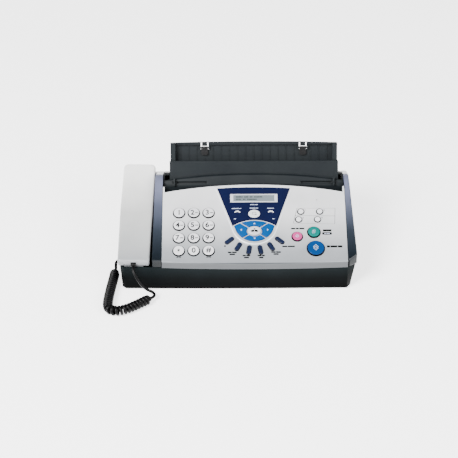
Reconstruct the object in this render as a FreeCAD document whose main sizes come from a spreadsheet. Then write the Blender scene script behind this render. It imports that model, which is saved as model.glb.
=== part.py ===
import FreeCAD
import Part
import Sketcher
import math
import os
import re

# Desktop fax machine with a corded handset, modelled in millimetres.
# +X is to the user's right, +Y to the back, +Z up. The origin is on the
# table, under the middle of the machine's outline.

Vector = FreeCAD.Vector
Rotation = FreeCAD.Rotation
Placement = FreeCAD.Placement
X_AXIS = Vector(1, 0, 0)

DIMENSIONS = {
    # base housing
    "body_left": -171.0,
    "body_right": 174.4,
    "left_draft": 2.6,
    "right_draft": 6.4,
    "front_y": -100.0,
    "rear_y": 106.3,
    "bow_left": -109.5,
    "bow_right": 162.5,
    "bow_radius": 1545.0,
    "sill_radius": 9000.0,
    "nose_depth": 8.5,
    "base_floor": 2.0,
    "base_top": 38.8,
    "wall_thickness": 2.5,
    "seam_gap": 0.2,
    "bearing_radius": 3.05,
    "shaft_radius": 3.0,
    "foot_radius": 7.0,
    "screw_radius": 1.5,
    "screw_head_radius": 2.9,
    # control panel, in its own sloping frame
    "panel_x": 26.5,
    "panel_y": -106.3,
    "panel_z": 48.8,
    "panel_slope": 26.0,
    "panel_half_width": 136.0,
    "panel_corner_front": 4.8,
    "panel_corner_back": 124.8,
    "panel_front_radius": 1929.0,
    "panel_back_radius": 668.0,
    "panel_thickness": 2.6,
    "lip_height": 9.6,
    "lip_radius": 2160.0,
    "skirt_depth": 8.0,
    "hinge_v": 132.3,
    "hinge_n": -3.1,
    "hinge_pin_radius": 2.45,
    "hinge_bore_radius": 2.5,
    # raised shield round the display
    "shield_top_half": 54.5,
    "shield_top_v": 130.5,
    "shield_bottom_radius": 31.0,
    "shield_bottom_v": 35.6,
    "shield_rise": 1.8,
    "shield_border": 6.5,
    "window_arc_radius": 54.7,
    "window_arc_top_v": 74.0,
    "window_thickness": 1.5,
    "display_half_width": 35.3,
    "display_low_v": 105.8,
    "display_high_v": 120.4,
    "glass_half_width": 30.6,
    "glass_low_v": 107.4,
    "glass_high_v": 118.6,
    # keys
    "key_pitch": 21.9,
    "key_radius": 7.9,
    "key_column_x": -89.4,
    "key_row_v": 22.4,
    "key_rise": 2.5,
    "key_gap": 0.3,
    "key_flange": 1.2,
    "key_flange_thickness": 1.0,
    "fan_centre_v": 72.5,
    "fan_radius": 49.3,
    "fan_angle": 19.4,
    "fan_half_length": 7.7,
    "fan_half_width": 2.9,
    "one_touch_radius": 4.1,
    "stop_radius": 7.2,
    "copy_radius": 8.8,
    "start_radius": 12.1,
    "menu_half_width": 9.6,
    "menu_half_height": 7.2,
    "menu_v": 55.0,
    "mode_half_width": 8.6,
    "mode_half_height": 6.6,
    "mode_v": 85.0,
    "arrow_gap": 2.0,
    # handset, in its own sloping frame
    "handset_x": -151.2,
    "handset_y": -100.0,
    "handset_z": 50.6,
    "handset_slope": 20.8,
    "handset_turn": -1.75,
    "handset_length": 184.0,
    "handset_front_half": 23.3,
    "handset_middle_half": 24.5,
    "handset_back_half": 24.1,
    "handset_crown_radius": 2100.0,
    "parting_depth": 10.0,
    "grip_depth": 18.0,
    "cup_depth": 28.5,
    "front_cup_end": 50.0,
    "rear_cup_start": 134.0,
    "cup_half_width": 13.8,
    "plug_depth": 6.6,
    "bed_depth": 19.6,
    # paper tray, in its own leaning frame
    "tray_x": 27.5,
    "tray_y": 31.8,
    "tray_z": 102.0,
    "tray_lean": 65.0,
    "tray_half_width": 126.0,
    "tray_height": 64.7,
    "tray_depth": 14.0,
    "tray_wall": 2.6,
    "tray_side": 7.4,
    "tray_top_radius": 4400.0,
    "cover_half_width": 127.3,
    "cover_height": 36.0,
    "rib_pitch": 12.3,
    "arm_x": 74.4,
    "arm_half_width": 5.2,
    "arm_length": 15.0,
    "arm_top": 60.5,
    # document backrest, in its own leaning frame
    "rest_y": 23.0,
    "rest_z": 102.0,
    "rest_lean": 53.1,
    "guide_half_span": 119.0,
    "guide_travel": 45.0,
    "slot_height": 7.4,
    # printing mechanism
    "bracket_x": 112.0,
    "bracket_thickness": 3.0,
    "platen_y": -50.0,
    "platen_z": 55.0,
    "platen_radius": 8.0,
    "platen_length": 216.0,
    "supply_y": -15.0,
    "supply_z": 42.0,
    "takeup_y": -82.0,
    "takeup_z": 26.0,
    # handset cord
    "coil_radius": 7.3,
    "cord_radius": 2.0,
}

os.makedirs("parts", exist_ok=True)
doc = FreeCAD.newDocument("FaxMachine")
sheet = doc.addObject("Spreadsheet::Sheet", "Dim")
for row, (alias, number) in enumerate(DIMENSIONS.items(), start=1):
    sheet.set(f"A{row}", alias.replace("_", " "))
    sheet.set(f"B{row}", str(number))
    sheet.setAlias(f"B{row}", alias)
doc.recompute()

NODES = {}


# ---------------------------------------------------------------- helpers

def size(expression):
    """The value of an expression in the sheet's aliases, or of a number."""
    if isinstance(expression, (int, float)):
        return float(expression)
    return float(sheet.evalExpression(expression))


def bind(thing, prop, expression):
    """Binds a property to an expression in the sheet's aliases."""
    if isinstance(expression, (int, float)):
        if not prop.startswith("Constraints"):
            setattr(thing, prop, expression)
        return
    linked = re.sub(r"\b([a-z]+(?:_[a-z]+)+)\b", r"Dim.\1", expression)
    thing.setExpression(prop, linked)


def new_body(name, is_node=True):
    """An empty body, which is exported under its name if it is a node."""
    body = doc.addObject("PartDesign::Body", name + "_body")
    body.Label = name
    if is_node:
        NODES[name] = body
    return body


def new_sketch(body, plane="XY_Plane", at=(0, 0, 0), turn=None):
    """A sketch on one of the body's own planes, moved by `at` and turned."""
    support = next(f for f in body.Origin.OriginFeatures if f.Role == plane)
    made = body.newObject("Sketcher::SketchObject", body.Label + "_sketch")
    made.AttachmentSupport = [(support, "")]
    made.MapMode = "FlatFace"
    place = [size(value) for value in at]
    made.AttachmentOffset = Placement(Vector(*place), turn or Rotation())
    return made


def fix_point(flat, geometry, point, x, y):
    """Ties a point of a sketch to expressions for its two coordinates."""
    for axis, kind, expression in ((-2, "DistanceX", x), (-1, "DistanceY", y)):
        value = size(expression)
        if abs(value) < 1e-9:
            flat.addConstraint(
                Sketcher.Constraint("PointOnObject", geometry, point, axis))
            continue
        index = flat.addConstraint(
            Sketcher.Constraint(kind, -1, 1, geometry, point, value))
        bind(flat, f"Constraints[{index}]", expression)


def outline(flat, corners):
    """A closed outline through (x, y) corners. A third value makes the next
    edge an arc of that radius, which bulges to the right of its direction,
    or to the left if the value's text starts with a minus sign."""
    ends = []
    half_circles = []
    count = len(corners)
    for i, corner in enumerate(corners):
        start = Vector(size(corner[0]), size(corner[1]), 0)
        after = corners[(i + 1) % count]
        end = Vector(size(after[0]), size(after[1]), 0)
        if len(corner) < 3:
            index = flat.addGeometry(Part.LineSegment(start, end), False)
            ends.append((index, 1, 2))
            continue
        radius = size(corner[2])
        chord = end - start
        right = Vector(chord.y, -chord.x, 0).normalize()
        half = chord.Length / 2
        sagitta = abs(radius) - math.sqrt(max(radius * radius - half * half, 0))
        middle = (start + end) / 2 + right * math.copysign(sagitta, radius)
        index = flat.addGeometry(Part.Arc(start, middle, end), False)
        first = (flat.getPoint(index, 1) - start).Length < 1e-4
        ends.append((index, 1, 2) if first else (index, 2, 1))
        if abs(radius) - half < 1e-6:
            half_circles.append(index)
            continue
        tie = flat.addConstraint(
            Sketcher.Constraint("Radius", index, abs(radius)))
        text = str(corner[2]).lstrip("-").strip()
        if not text.replace(".", "").isdigit():
            bind(flat, f"Constraints[{tie}]", text)
    for i, corner in enumerate(corners):
        index, head, tail = ends[i]
        following = ends[(i + 1) % count]
        meet = "Tangent" if index in half_circles else "Coincident"
        flat.addConstraint(Sketcher.Constraint(
            meet, index, tail, following[0], following[1]))
        fix_point(flat, index, head, corner[0], corner[1])


def box_outline(flat, left, low, right, high):
    outline(flat, [(left, low), (right, low), (right, high), (left, high)])


def circles(flat, holes):
    """Circles, each given as (x, y, radius)."""
    for x, y, radius in holes:
        centre = Vector(size(x), size(y), 0)
        index = flat.addGeometry(
            Part.Circle(centre, Vector(0, 0, 1), size(radius)), False)
        tie = flat.addConstraint(
            Sketcher.Constraint("Radius", index, size(radius)))
        bind(flat, f"Constraints[{tie}]", radius)
        fix_point(flat, index, 3, x, y)


def finish(made):
    """Works a feature out, and stops if it or its sketch failed."""
    doc.recompute()
    if not made.isValid() or made.Shape.isNull():
        raise RuntimeError(f"{made.Name}: {made.getStatusString()}")


def feature(body, kind, flat, length=None, back=False):
    """A pad, pocket or other feature made from a sketch."""
    made = body.newObject("PartDesign::" + kind, f"{body.Label}_{kind}")
    made.Profile = flat
    if length is not None:
        bind(made, "Length", length)
    made.Reversed = back
    earlier = made.BaseFeature.Shape.Volume if kind == "Pocket" else 0.0
    finish(made)
    if kind == "Pocket" and made.Shape.Volume > earlier - 1e-3:
        raise RuntimeError(f"a pocket of {body.Label} cuts nothing")
    return made


def pad(body, flat, length, back=False):
    return feature(body, "Pad", flat, length, back)


def pocket(body, flat, length, back=False):
    return feature(body, "Pocket", flat, length, back)


def loft(body, flats, kind="AdditiveLoft"):
    made = body.newObject("PartDesign::" + kind, f"{body.Label}_{kind}")
    made.Profile = flats[0]
    made.Sections = flats[1:]
    made.Ruled = True
    finish(made)
    return made


def fillet(body, radius, test):
    """Rounds those edges of a body's last feature whose middle passes."""
    base = body.Tip
    names = []
    for number, edge in enumerate(base.Shape.Edges, start=1):
        middle = edge.valueAt((edge.FirstParameter + edge.LastParameter) / 2)
        if test(middle, edge):
            names.append(f"Edge{number}")
    if not names:
        raise RuntimeError(f"no edge of {body.Label} to round")
    made = body.newObject("PartDesign::Fillet", f"{body.Label}_Fillet")
    made.Base = (base, names)
    bind(made, "Radius", radius)
    finish(made)


def vertical(edge, axis):
    """Whether an edge is straight and lies nearly along an axis."""
    if len(edge.Vertexes) < 2:
        return False
    run = edge.Vertexes[-1].Point - edge.Vertexes[0].Point
    return run.Length > 1e-6 and abs(run.normalize().dot(axis)) > 0.95


def turned(angle, axis=X_AXIS):
    return Rotation(axis, size(angle))


def panel_place(x=0, v=0, n=0):
    """A place on the control panel: x across, v up the slope, n outwards."""
    frame = Placement(
        Vector(size("panel_x"), size("panel_y"), size("panel_z")),
        turned("panel_slope"))
    return frame.multiply(
        Placement(Vector(size(x), size(v), size(n)), Rotation()))


def handset_place():
    turn = Rotation(Vector(0, 0, 1), size("handset_turn"))
    return Placement(
        Vector(size("handset_x"), size("handset_y"), size("handset_z")),
        turn.multiply(turned("handset_slope")))


def tray_place():
    return Placement(
        Vector(size("tray_x"), size("tray_y"), size("tray_z")),
        turned("tray_lean"))


def rest_place():
    return Placement(
        Vector(size("tray_x"), size("rest_y"), size("rest_z")),
        turned("rest_lean"))


def compound(name, members):
    made = doc.addObject("Part::Compound", name + "_group")
    made.Links = members
    made.Label = name
    NODES[name] = made
    return made


def solid_block(name, corner, lengths):
    """A Part::Box from one corner and three edge lengths."""
    made = doc.addObject("Part::Box", name)
    for prop, length in zip(("Length", "Width", "Height"), lengths):
        bind(made, prop, length)
    made.Placement = Placement(
        Vector(*[size(value) for value in corner]), Rotation())
    return made


def rod(name, start, radius, length, axis=Vector(0, 0, 1)):
    """A Part::Cylinder from the middle of one end along an axis."""
    made = doc.addObject("Part::Cylinder", name)
    bind(made, "Radius", radius)
    bind(made, "Height", length)
    made.Placement = Placement(
        Vector(*[size(value) for value in start]),
        Rotation(Vector(0, 0, 1), axis))
    return made


def joined(kind, base, tool, name=None):
    made = doc.addObject("Part::" + kind, (name or base.Name) + "_" + kind)
    made.Base = base
    made.Tool = tool
    if name:
        made.Label = name
        NODES[name] = made
    return made


# ----------------------------------------------------------- base housing

def base_outline(flat, left, right, radius):
    """The housing's plan: a bowed front, a slanted right nose and small
    cut corners."""
    outline(flat, [
        (f"{left} + 5", "front_y + 1"),
        ("bow_left", "front_y", radius),
        ("bow_right", "front_y"),
        (right, "front_y + nose_depth"),
        (f"{right} - 2", "rear_y - 6"),
        (f"{right} - 8", "rear_y"),
        (f"{left} + 11", "rear_y"),
        (f"{left} + 5", "rear_y - 6"),
        (left, "front_y + 6"),
    ])


def make_base_housing():
    body = new_body("base_housing")
    low = new_sketch(body, at=(0, 0, "base_floor"))
    base_outline(low, "body_left + left_draft", "body_right - right_draft",
                 "sill_radius")
    high = new_sketch(body, at=(0, 0, "base_top"))
    base_outline(high, "body_left", "body_right", "bow_radius")
    loft(body, [low, high])
    tip = body.Tip
    top = max(range(len(tip.Shape.Faces)),
              key=lambda i: tip.Shape.Faces[i].CenterOfMass.z)
    hollow = body.newObject("PartDesign::Thickness", "base_wall")
    hollow.Base = (tip, [f"Face{top + 1}"])
    bind(hollow, "Value", "wall_thickness")
    hollow.Reversed = True
    hollow.Join = 1
    finish(hollow)
    add_bearing_brackets(body)
    add_floor_posts(body)
    add_handset_socket(body)
    add_rear_openings(body)
    return body


def add_bearing_brackets(body):
    """Two side plates that carry the platen and the ribbon spools."""
    for side in ("-1", "1"):
        where = f"panel_x + {side} * bracket_x - bracket_thickness / 2"
        plate = new_sketch(body, "YZ_Plane", at=(0, 0, where))
        outline(plate, [
            (-94, 3), (2, 3), (2, 52), (-12, 58),
            (-38, 62.5), (-62, 62.5), (-74, 38), (-93.5, 34)])
        pad(body, plate, "bracket_thickness")
    holes = new_sketch(body, "YZ_Plane", at=(0, 0, "panel_x - bracket_x - 5"))
    circles(holes, [
        ("platen_y", "platen_z", "bearing_radius"),
        ("supply_y", "supply_z", "bearing_radius"),
        ("takeup_y", "takeup_z", "bearing_radius")])
    pocket(body, holes, "2 * bracket_x + 10", back=True)


SCREW_POINTS = [(-150, -68), (-150, 92), (152, -64), (152, 92)]
FOOT_POINTS = [(-150, -84), (-150, 76), (150, -80), (150, 76)]
BOARD_POSTS = [(-90, 24), (-90, 88), (134, 24), (134, 88)]


def add_floor_posts(body):
    """Screw bosses with counterbores, and posts for the circuit board."""
    bosses = new_sketch(body, at=(0, 0, "base_floor + 1"))
    circles(bosses, [(x, y, 4.5) for x, y in SCREW_POINTS])
    pad(body, bosses, 20)
    posts = new_sketch(body, at=(0, 0, "base_floor + 1"))
    circles(posts, [(x, y, 3.0) for x, y in BOARD_POSTS])
    pad(body, posts, 6.0)
    heads = new_sketch(body, at=(0, 0, "base_floor"))
    circles(heads, [(x, y, "screw_head_radius + 0.3") for x, y in SCREW_POINTS])
    pocket(body, heads, 2.5, back=True)
    shanks = new_sketch(body, at=(0, 0, "base_floor"))
    circles(shanks, [(x, y, "screw_radius + 0.1") for x, y in SCREW_POINTS])
    pocket(body, shanks, 18, back=True)


SOCKET_Y = -42.0
SOCKET_Z = 14.0


def add_handset_socket(body):
    """The recessed socket for the handset cord, in the left wall."""
    block = new_sketch(body, "YZ_Plane", at=(0, 0, -168.5))
    box_outline(block, SOCKET_Y - 8, 3, SOCKET_Y + 8, SOCKET_Z + 8)
    pad(body, block, 16)
    cavity = new_sketch(body, "YZ_Plane", at=(0, 0, -175))
    box_outline(cavity, SOCKET_Y - 5.5, SOCKET_Z - 5, SOCKET_Y + 5.5, SOCKET_Z + 5)
    pocket(body, cavity, 20, back=True)


JACK_XS = (-70.0, -48.0)


def add_rear_openings(body):
    """Windows for the two line sockets."""
    windows = new_sketch(body, "XZ_Plane", at=(0, 0, -112))
    for x in JACK_XS:
        box_outline(windows, x - 7.5, 10.3, x + 7.5, 25.3)
    pocket(body, windows, 12, back=True)


def make_feet():
    body = new_body("rubber_feet")
    body.AllowCompound = True
    flat = new_sketch(body)
    circles(flat, [(x, y, "foot_radius") for x, y in FOOT_POINTS])
    pad(body, flat, "base_floor")
    fillet(body, 0.6, lambda p, e: p.z < 0.01)


def make_screws():
    body = new_body("housing_screws")
    body.AllowCompound = True
    shank = new_sketch(body, at=(0, 0, "base_floor + 2"))
    circles(shank, [(x, y, "screw_radius") for x, y in SCREW_POINTS])
    pad(body, shank, 14)
    head = new_sketch(body, at=(0, 0, "base_floor + 0.6"))
    circles(head, [(x, y, "screw_head_radius") for x, y in SCREW_POINTS])
    pad(body, head, 1.6)
    for x, y in SCREW_POINTS:
        for wide, tall in ((3.2, 0.8), (0.8, 3.2)):
            slot = new_sketch(body, at=(0, 0, "base_floor + 0.6"))
            box_outline(slot, x - wide / 2, y - tall / 2,
                        x + wide / 2, y + tall / 2)
            pocket(body, slot, 0.8, back=True)


# ------------------------------------------------------------ side covers

def side_profile(flat, front, drop, rear):
    """A side cover's outline seen from the side."""
    outline(flat, [
        (f"front_y + {front}", "base_top + seam_gap"),
        (f"rear_y - {rear}", "base_top + seam_gap"),
        (f"rear_y - {rear}", f"76 - {drop}"),
        (f"rear_y - {rear} - 10", f"88.5 - {drop}"),
        (50, f"110.5 - {drop}"),
        (42, f"113.8 - {drop}"),
        (34, f"115 - {drop}"),
        (26, f"114 - {drop}"),
        (19, f"111 - {drop}"),
        (f"front_y + {front}", f"51.6 - {drop}"),
    ])


def make_right_cover():
    body = new_body("right_side_cover")
    side = new_sketch(body, "YZ_Plane", at=(0, 0, "bow_right + 0.3"))
    side_profile(side, 0, 0, 0)
    pad(body, side, 14.7)
    plan = new_sketch(body, at=(0, 0, 30))
    outline(plan, [
        ("bow_right + 1.5", "front_y - 1"), (182, "front_y - 1"),
        (182, "rear_y + 1"), (172.5, "rear_y + 1"),
        (176.6, "front_y + nose_depth - 0.5")])
    pocket(body, plan, 100, back=True)
    lean = new_sketch(body, "XZ_Plane", at=(0, 0, -110))
    outline(lean, [(177.6, 46), (182, 46), (182, 120), (170.0, 120)])
    pocket(body, lean, 220, back=True)
    cavity = new_sketch(body, "YZ_Plane", at=(0, 0, "bow_right + 2.6"))
    outline(cavity, [
        (-91, 30), (99, 30), (99, 65), (90, 76), (48, 98),
        (34, 101), (21, 97), (-91, 38)])
    pocket(body, cavity, 9.4, back=True)
    hinge = panel_place(0, "hinge_v", "hinge_n").Base
    bore = new_sketch(body, "YZ_Plane", at=(0, 0, "bow_right"))
    circles(bore, [(hinge.y, hinge.z, "hinge_bore_radius")])
    pocket(body, bore, 6.5, back=True)


def make_handset_cradle():
    body = new_body("handset_cradle")
    start = new_sketch(body, "YZ_Plane", at=(0, 0, "body_left - 0.2"))
    side_profile(start, 0.5, 0, 0)
    pad(body, start, "bow_left - 0.3 - body_left + 0.2")
    plan = new_sketch(body, at=(0, 0, 30))
    outline(plan, [
        ("body_left - 2", "front_y - 1"), ("body_left - 0.1", "front_y - 1"),
        ("body_left + 5", "rear_y - 5"), ("body_left + 11", "rear_y + 1"),
        ("body_left - 2", "rear_y + 1")])
    pocket(body, plan, 100, back=True)
    bed_turn = handset_place().Rotation
    bed_at = handset_place().multVec(Vector(0, 0, -size("bed_depth")))
    bed = new_sketch(body, at=tuple(bed_at), turn=bed_turn)
    outline(bed, [
        (-60, -20), (27.5, -20), (25.5, 190), (-60, 190)])
    pocket(body, bed, 70, back=True)
    taper = Rotation(Vector(0, 1, 0), -1.444)
    hollow = new_sketch(body, "YZ_Plane", at=(0, 0, -166.1), turn=taper)
    outline(hollow, [
        (-72, 30), (102, 30), (102, 70), (94, 84.5), (76, 92),
        (60, 87.4), (-72, 37.4)])
    pocket(body, hollow, 37, back=True)
    strip = new_sketch(body, "YZ_Plane", at=(0, 0, -119))
    outline(strip, [
        (-92, 30), (100, 30), (100, 68), (92, 82), (50, 105),
        (34, 109), (21, 106), (-92, 48.5)])
    pocket(body, strip, 6.6, back=True)
    add_cups(body, bed_turn)
    hinge = panel_place(0, "hinge_v", "hinge_n").Base
    bore = new_sketch(body, "YZ_Plane", at=(0, 0, "bow_left - 6.5"))
    circles(bore, [(hinge.y, hinge.z, "hinge_bore_radius")])
    pocket(body, bore, 8, back=True)
    plunger = new_sketch(body, at=tuple(bed_at), turn=bed_turn)
    box_outline(plunger, -4.4, 84.6, 4.4, 91.4)
    pocket(body, plunger, 14)


def add_cups(body, turn):
    """Wells in the bed that hold the earpiece and the mouthpiece. The front
    well's block also closes the gap behind the housing's front wall."""
    place = handset_place()
    bottom = place.multVec(Vector(0, 0, -size("cup_depth + 3.2")))
    seat = place.multVec(Vector(0, 0, -size("cup_depth + 1.2")))
    for low, high, front in (
            (1.5, "front_cup_end + 5.6", -1.0),
            ("rear_cup_start - 5.5", "handset_length + 2",
             "rear_cup_start - 7")):
        block = new_sketch(body, at=tuple(bottom), turn=turn)
        box_outline(block, "-cup_half_width - 2.1", front,
                    "cup_half_width + 2.1", f"{high} + 1.5")
        pad(body, block, "cup_depth + 3.2 - bed_depth - 1")
        well = new_sketch(body, at=tuple(seat), turn=turn)
        box_outline(well, "-cup_half_width - 0.6", low,
                    "cup_half_width + 0.6", high)
        pocket(body, well, 30, back=True)


# ------------------------------------------------------------- rear cover

def make_rear_cover():
    body = new_body("rear_top_cover")
    outer = new_sketch(body, "YZ_Plane", at=(0, 0, "bow_left"))
    outline(outer, [
        ("rest_y", "base_top + seam_gap"),
        ("rear_y", "base_top + seam_gap"),
        ("rear_y", 76), ("rear_y - 10", 88.5), (58, 108.2),
        (38.2, 117.4), (34.6, 117.4), ("rest_y", "rest_z")])
    pad(body, outer, "bow_right - bow_left")
    inner = new_sketch(body, "YZ_Plane", at=(0, 0, "bow_left + 2.5"))
    outline(inner, [
        ("rest_y + 2.5", 30), ("rear_y - 2.5", 30),
        ("rear_y - 2.5", 75), ("rear_y - 11.5", 86), (57, 105.4),
        (37.4, 114.4), (35.6, 114.4), ("rest_y + 2.5", 101.2)])
    pocket(body, inner, "bow_right - bow_left - 5", back=True)
    cut_ridge_arch(body)
    cut_tray_slot(body)
    cut_guide_slots(body)
    louvres = new_sketch(body, "XZ_Plane", at=(0, 0, -110))
    for step in range(12):
        box_outline(louvres, 60 + step * 6, 48, 62.4 + step * 6, 68)
    pocket(body, louvres, 8, back=True)


def cut_ridge_arch(body):
    """Lowers the ridge towards its ends, so that its top is an arch."""
    for side, end in ((-1, "bow_left - 1"), (1, "bow_right + 1")):
        first, second = (end, 109.5), ("panel_x", 117.5)
        if side > 0:
            first, second = second, first
        arch = new_sketch(body, "XZ_Plane", at=(0, 0, -62))
        outline(arch, [first + ("-1100",), second, (end, 119.0)])
        pocket(body, arch, 45, back=True)


def cut_tray_slot(body):
    """The leaning slot that the paper tray and its front cover stand in."""
    slot = new_sketch(body, "YZ_Plane", at=(0, 0, "tray_x - cover_half_width - 0.4"))
    lean = math.radians(size("tray_lean"))
    along = Vector(math.cos(lean), math.sin(lean), 0)
    across = Vector(math.sin(lean), -math.cos(lean), 0)
    base = Vector(size("tray_y"), size("tray_z"), 0)
    reach = size("tray_depth + tray_wall + 0.6")
    corners = []
    for forward, up in ((-0.4, -6), (reach, -6), (reach, 40), (-0.4, 40)):
        point = base + across * forward + along * up
        corners.append((point.x, point.y))
    outline(slot, corners)
    pocket(body, slot, "2 * cover_half_width + 0.8", back=True)


def cut_guide_slots(body):
    """The two slots that the document guides slide in."""
    lean = math.radians(size("rest_lean"))
    up = Vector(0, math.cos(lean), math.sin(lean))
    foot = Vector(size("tray_x"), size("rest_y"), size("rest_z"))
    at = foot + up * size("slot_height")
    for side in (-1, 1):
        slot = new_sketch(body, at=tuple(at), turn=turned("rest_lean"))
        near = size("guide_half_span - guide_travel") - 3.2
        far = size("guide_half_span") + 3.2
        low, high = sorted((side * near, side * far))
        box_outline(slot, low, -1.6, high, 1.6)
        pocket(body, slot, 6)


def make_document_guides():
    """Two fins with feet through the slots and racks behind the backrest."""
    for side, name in ((-1, "document_guide_left"), (1, "document_guide_right")):
        body = new_body(name)
        fin = new_sketch(body, at=(0, 0, 0.4))
        low, high = sorted((0, side * 2.0))
        box_outline(fin, low, -6.0, high, 7.5)
        pad(body, fin, 6.0)
        fillet(body, 1.8, lambda p, e: p.z > 6.3 and abs(p.x) < 2.1 and
               vertical(e, X_AXIS))
        foot = new_sketch(body, at=(0, 0, -4.4))
        low, high = sorted((-side * 2.5, side * 2.0))
        box_outline(foot, low, -1.3, high, 1.3)
        pad(body, foot, 5.0)
        rack = new_sketch(body, at=(0, 0, -5.8))
        reach = 50.0
        low, high = sorted((side * 2.0, -side * reach))
        box_outline(rack, low, -4.6, high, 2.2)
        pad(body, rack, 1.4)
        body.Placement = rest_place().multiply(Placement(
            Vector(side * size("guide_half_span"), size("slot_height"), 0),
            Rotation()))


# ------------------------------------------------------------- paper tray

def make_paper_tray():
    body = new_body("paper_tray")
    plate = new_sketch(body, at=(0, 0, "-tray_depth - tray_wall"))
    outline(plate, [
        ("-tray_half_width", 0), ("tray_half_width", 0),
        ("tray_half_width", "tray_height - 2", "tray_top_radius"),
        ("-tray_half_width", "tray_height - 2")])
    pad(body, plate, "tray_wall")
    for side in (-1, 1):
        wall = new_sketch(body, at=(0, 0, "-tray_depth - 0.5"))
        low, high = sorted((side * size("tray_half_width"),
                            side * size("tray_half_width - tray_side")))
        box_outline(wall, low, 0, high, "tray_height - 2")
        pad(body, wall, "tray_depth - 2.7")
    rim = new_sketch(body, at=(0, 0, "-tray_depth - 0.5"))
    outline(rim, [
        ("-tray_half_width", "tray_height - 5"),
        ("tray_half_width", "tray_height - 5"),
        ("tray_half_width", "tray_height - 2", "tray_top_radius"),
        ("-tray_half_width", "tray_height - 2")])
    pad(body, rim, 5.5)
    ribs = new_sketch(body, at=(0, 0, "-tray_depth - 0.2"))
    for step in range(-9, 10):
        middle = f"{step} * rib_pitch"
        near_arm = abs(abs(step * size("rib_pitch")) - size("arm_x")) < 7.5
        top = "arm_top - arm_length - 6" if near_arm else "tray_height - 5.2"
        box_outline(ribs, f"{middle} - 0.5", 1, f"{middle} + 0.5", top)
    pad(body, ribs, 1.2)
    for side in ("-1", "1"):
        x = f"{side} * arm_x"
        window = new_sketch(body, at=(0, 0, "-tray_depth - tray_wall - 1"))
        box_outline(window, f"{x} - arm_half_width - 0.6", "arm_top - 8.2",
                    f"{x} + arm_half_width + 0.6", "arm_top - 3.1")
        pocket(body, window, 14, back=True)
        slits = new_sketch(body, at=(0, 0, "-tray_depth - tray_wall - 1"))
        for edge in ("-1", "1"):
            box_outline(slits, f"{x} + {edge} * 4.9 - 0.9", "arm_top - 4",
                        f"{x} + {edge} * 4.9 + 0.9", "arm_top + 2.6")
        pocket(body, slits, 14, back=True)
        notch = new_sketch(body, at=(0, 0, "-tray_depth + 0.1"))
        box_outline(notch, f"{x} - arm_half_width - 0.6", "arm_top - 2",
                    f"{x} + arm_half_width + 0.6", "tray_height + 1")
        pocket(body, notch, 8, back=True)
        for edge in ("-1", "1"):
            lug = new_sketch(
                body, "YZ_Plane",
                at=(0, 0, f"{x} + {edge} * (arm_half_width + 1.6) - 1"))
            box_outline(lug, "arm_top - 8", "-tray_depth - 0.3",
                        "arm_top - 2.6", "-tray_depth + 4.2")
            pad(body, lug, 2)
    pins = new_sketch(body, "YZ_Plane", at=(0, 0, "-arm_x - arm_half_width - 4"))
    circles(pins, [("arm_top - 5.5", "-tray_depth + 1.8", 1.3)])
    pocket(body, pins, "2 * arm_x + 2 * arm_half_width + 8", back=True)
    body.Placement = tray_place()


def make_tray_front_cover():
    body = new_body("tray_front_cover")
    plate = new_sketch(body, at=(0, 0, -2.8))
    box_outline(plate, "-cover_half_width", 2, "cover_half_width", "cover_height")
    pad(body, plate, 2.8)
    fillet(body, 1.2, lambda p, e: p.y > size("cover_height") - 0.01 and
           vertical(e, X_AXIS))
    body.Placement = tray_place()


def make_support_arms():
    """Fold-out arms that hold long sheets above the tray."""
    for side, name in ((-1, "paper_support_arm_left"),
                       (1, "paper_support_arm_right")):
        body = new_body(name)
        blade = new_sketch(body, at=(0, 0, -1.4))
        box_outline(blade, "-arm_half_width", "-arm_length + 3.5",
                    "arm_half_width", -1.0)
        pad(body, blade, 2.8)
        fillet(body, 3.0, lambda p, e: p.y < -11 and
               vertical(e, Vector(0, 0, 1)))
        barrel = new_sketch(body, "YZ_Plane", at=(0, 0, "-arm_half_width"))
        circles(barrel, [(0, 0, 2.0)])
        pad(body, barrel, "2 * arm_half_width")
        pin = new_sketch(body, "YZ_Plane", at=(0, 0, "-arm_half_width - 2.4"))
        circles(pin, [(0, 0, 1.25)])
        pad(body, pin, "2 * arm_half_width + 4.8")
        body.Placement = tray_place().multiply(Placement(
            Vector(side * size("arm_x"), size("arm_top - 5.5"),
                   size("-tray_depth + 1.8")), Rotation()))


# ---------------------------------------------------------- control panel

SHIELD_LEAN = 0.338


def shield_corners(grow, top):
    """The shield's outline: a top edge, two sides and a round bottom."""
    centre = "shield_bottom_v + shield_bottom_radius"
    lean = SHIELD_LEAN
    norm = math.sqrt(1 + lean * lean)
    radius = size("shield_bottom_radius") + grow
    touch_x = radius / norm
    touch_v = size(centre) - radius * lean / norm
    top_v = size("shield_top_v") + top
    top_x = touch_x + lean * (top_v - touch_v)
    return [(-touch_x, touch_v, radius), (touch_x, touch_v),
            (top_x, top_v, 700.0 + grow), (-top_x, top_v)]


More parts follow.
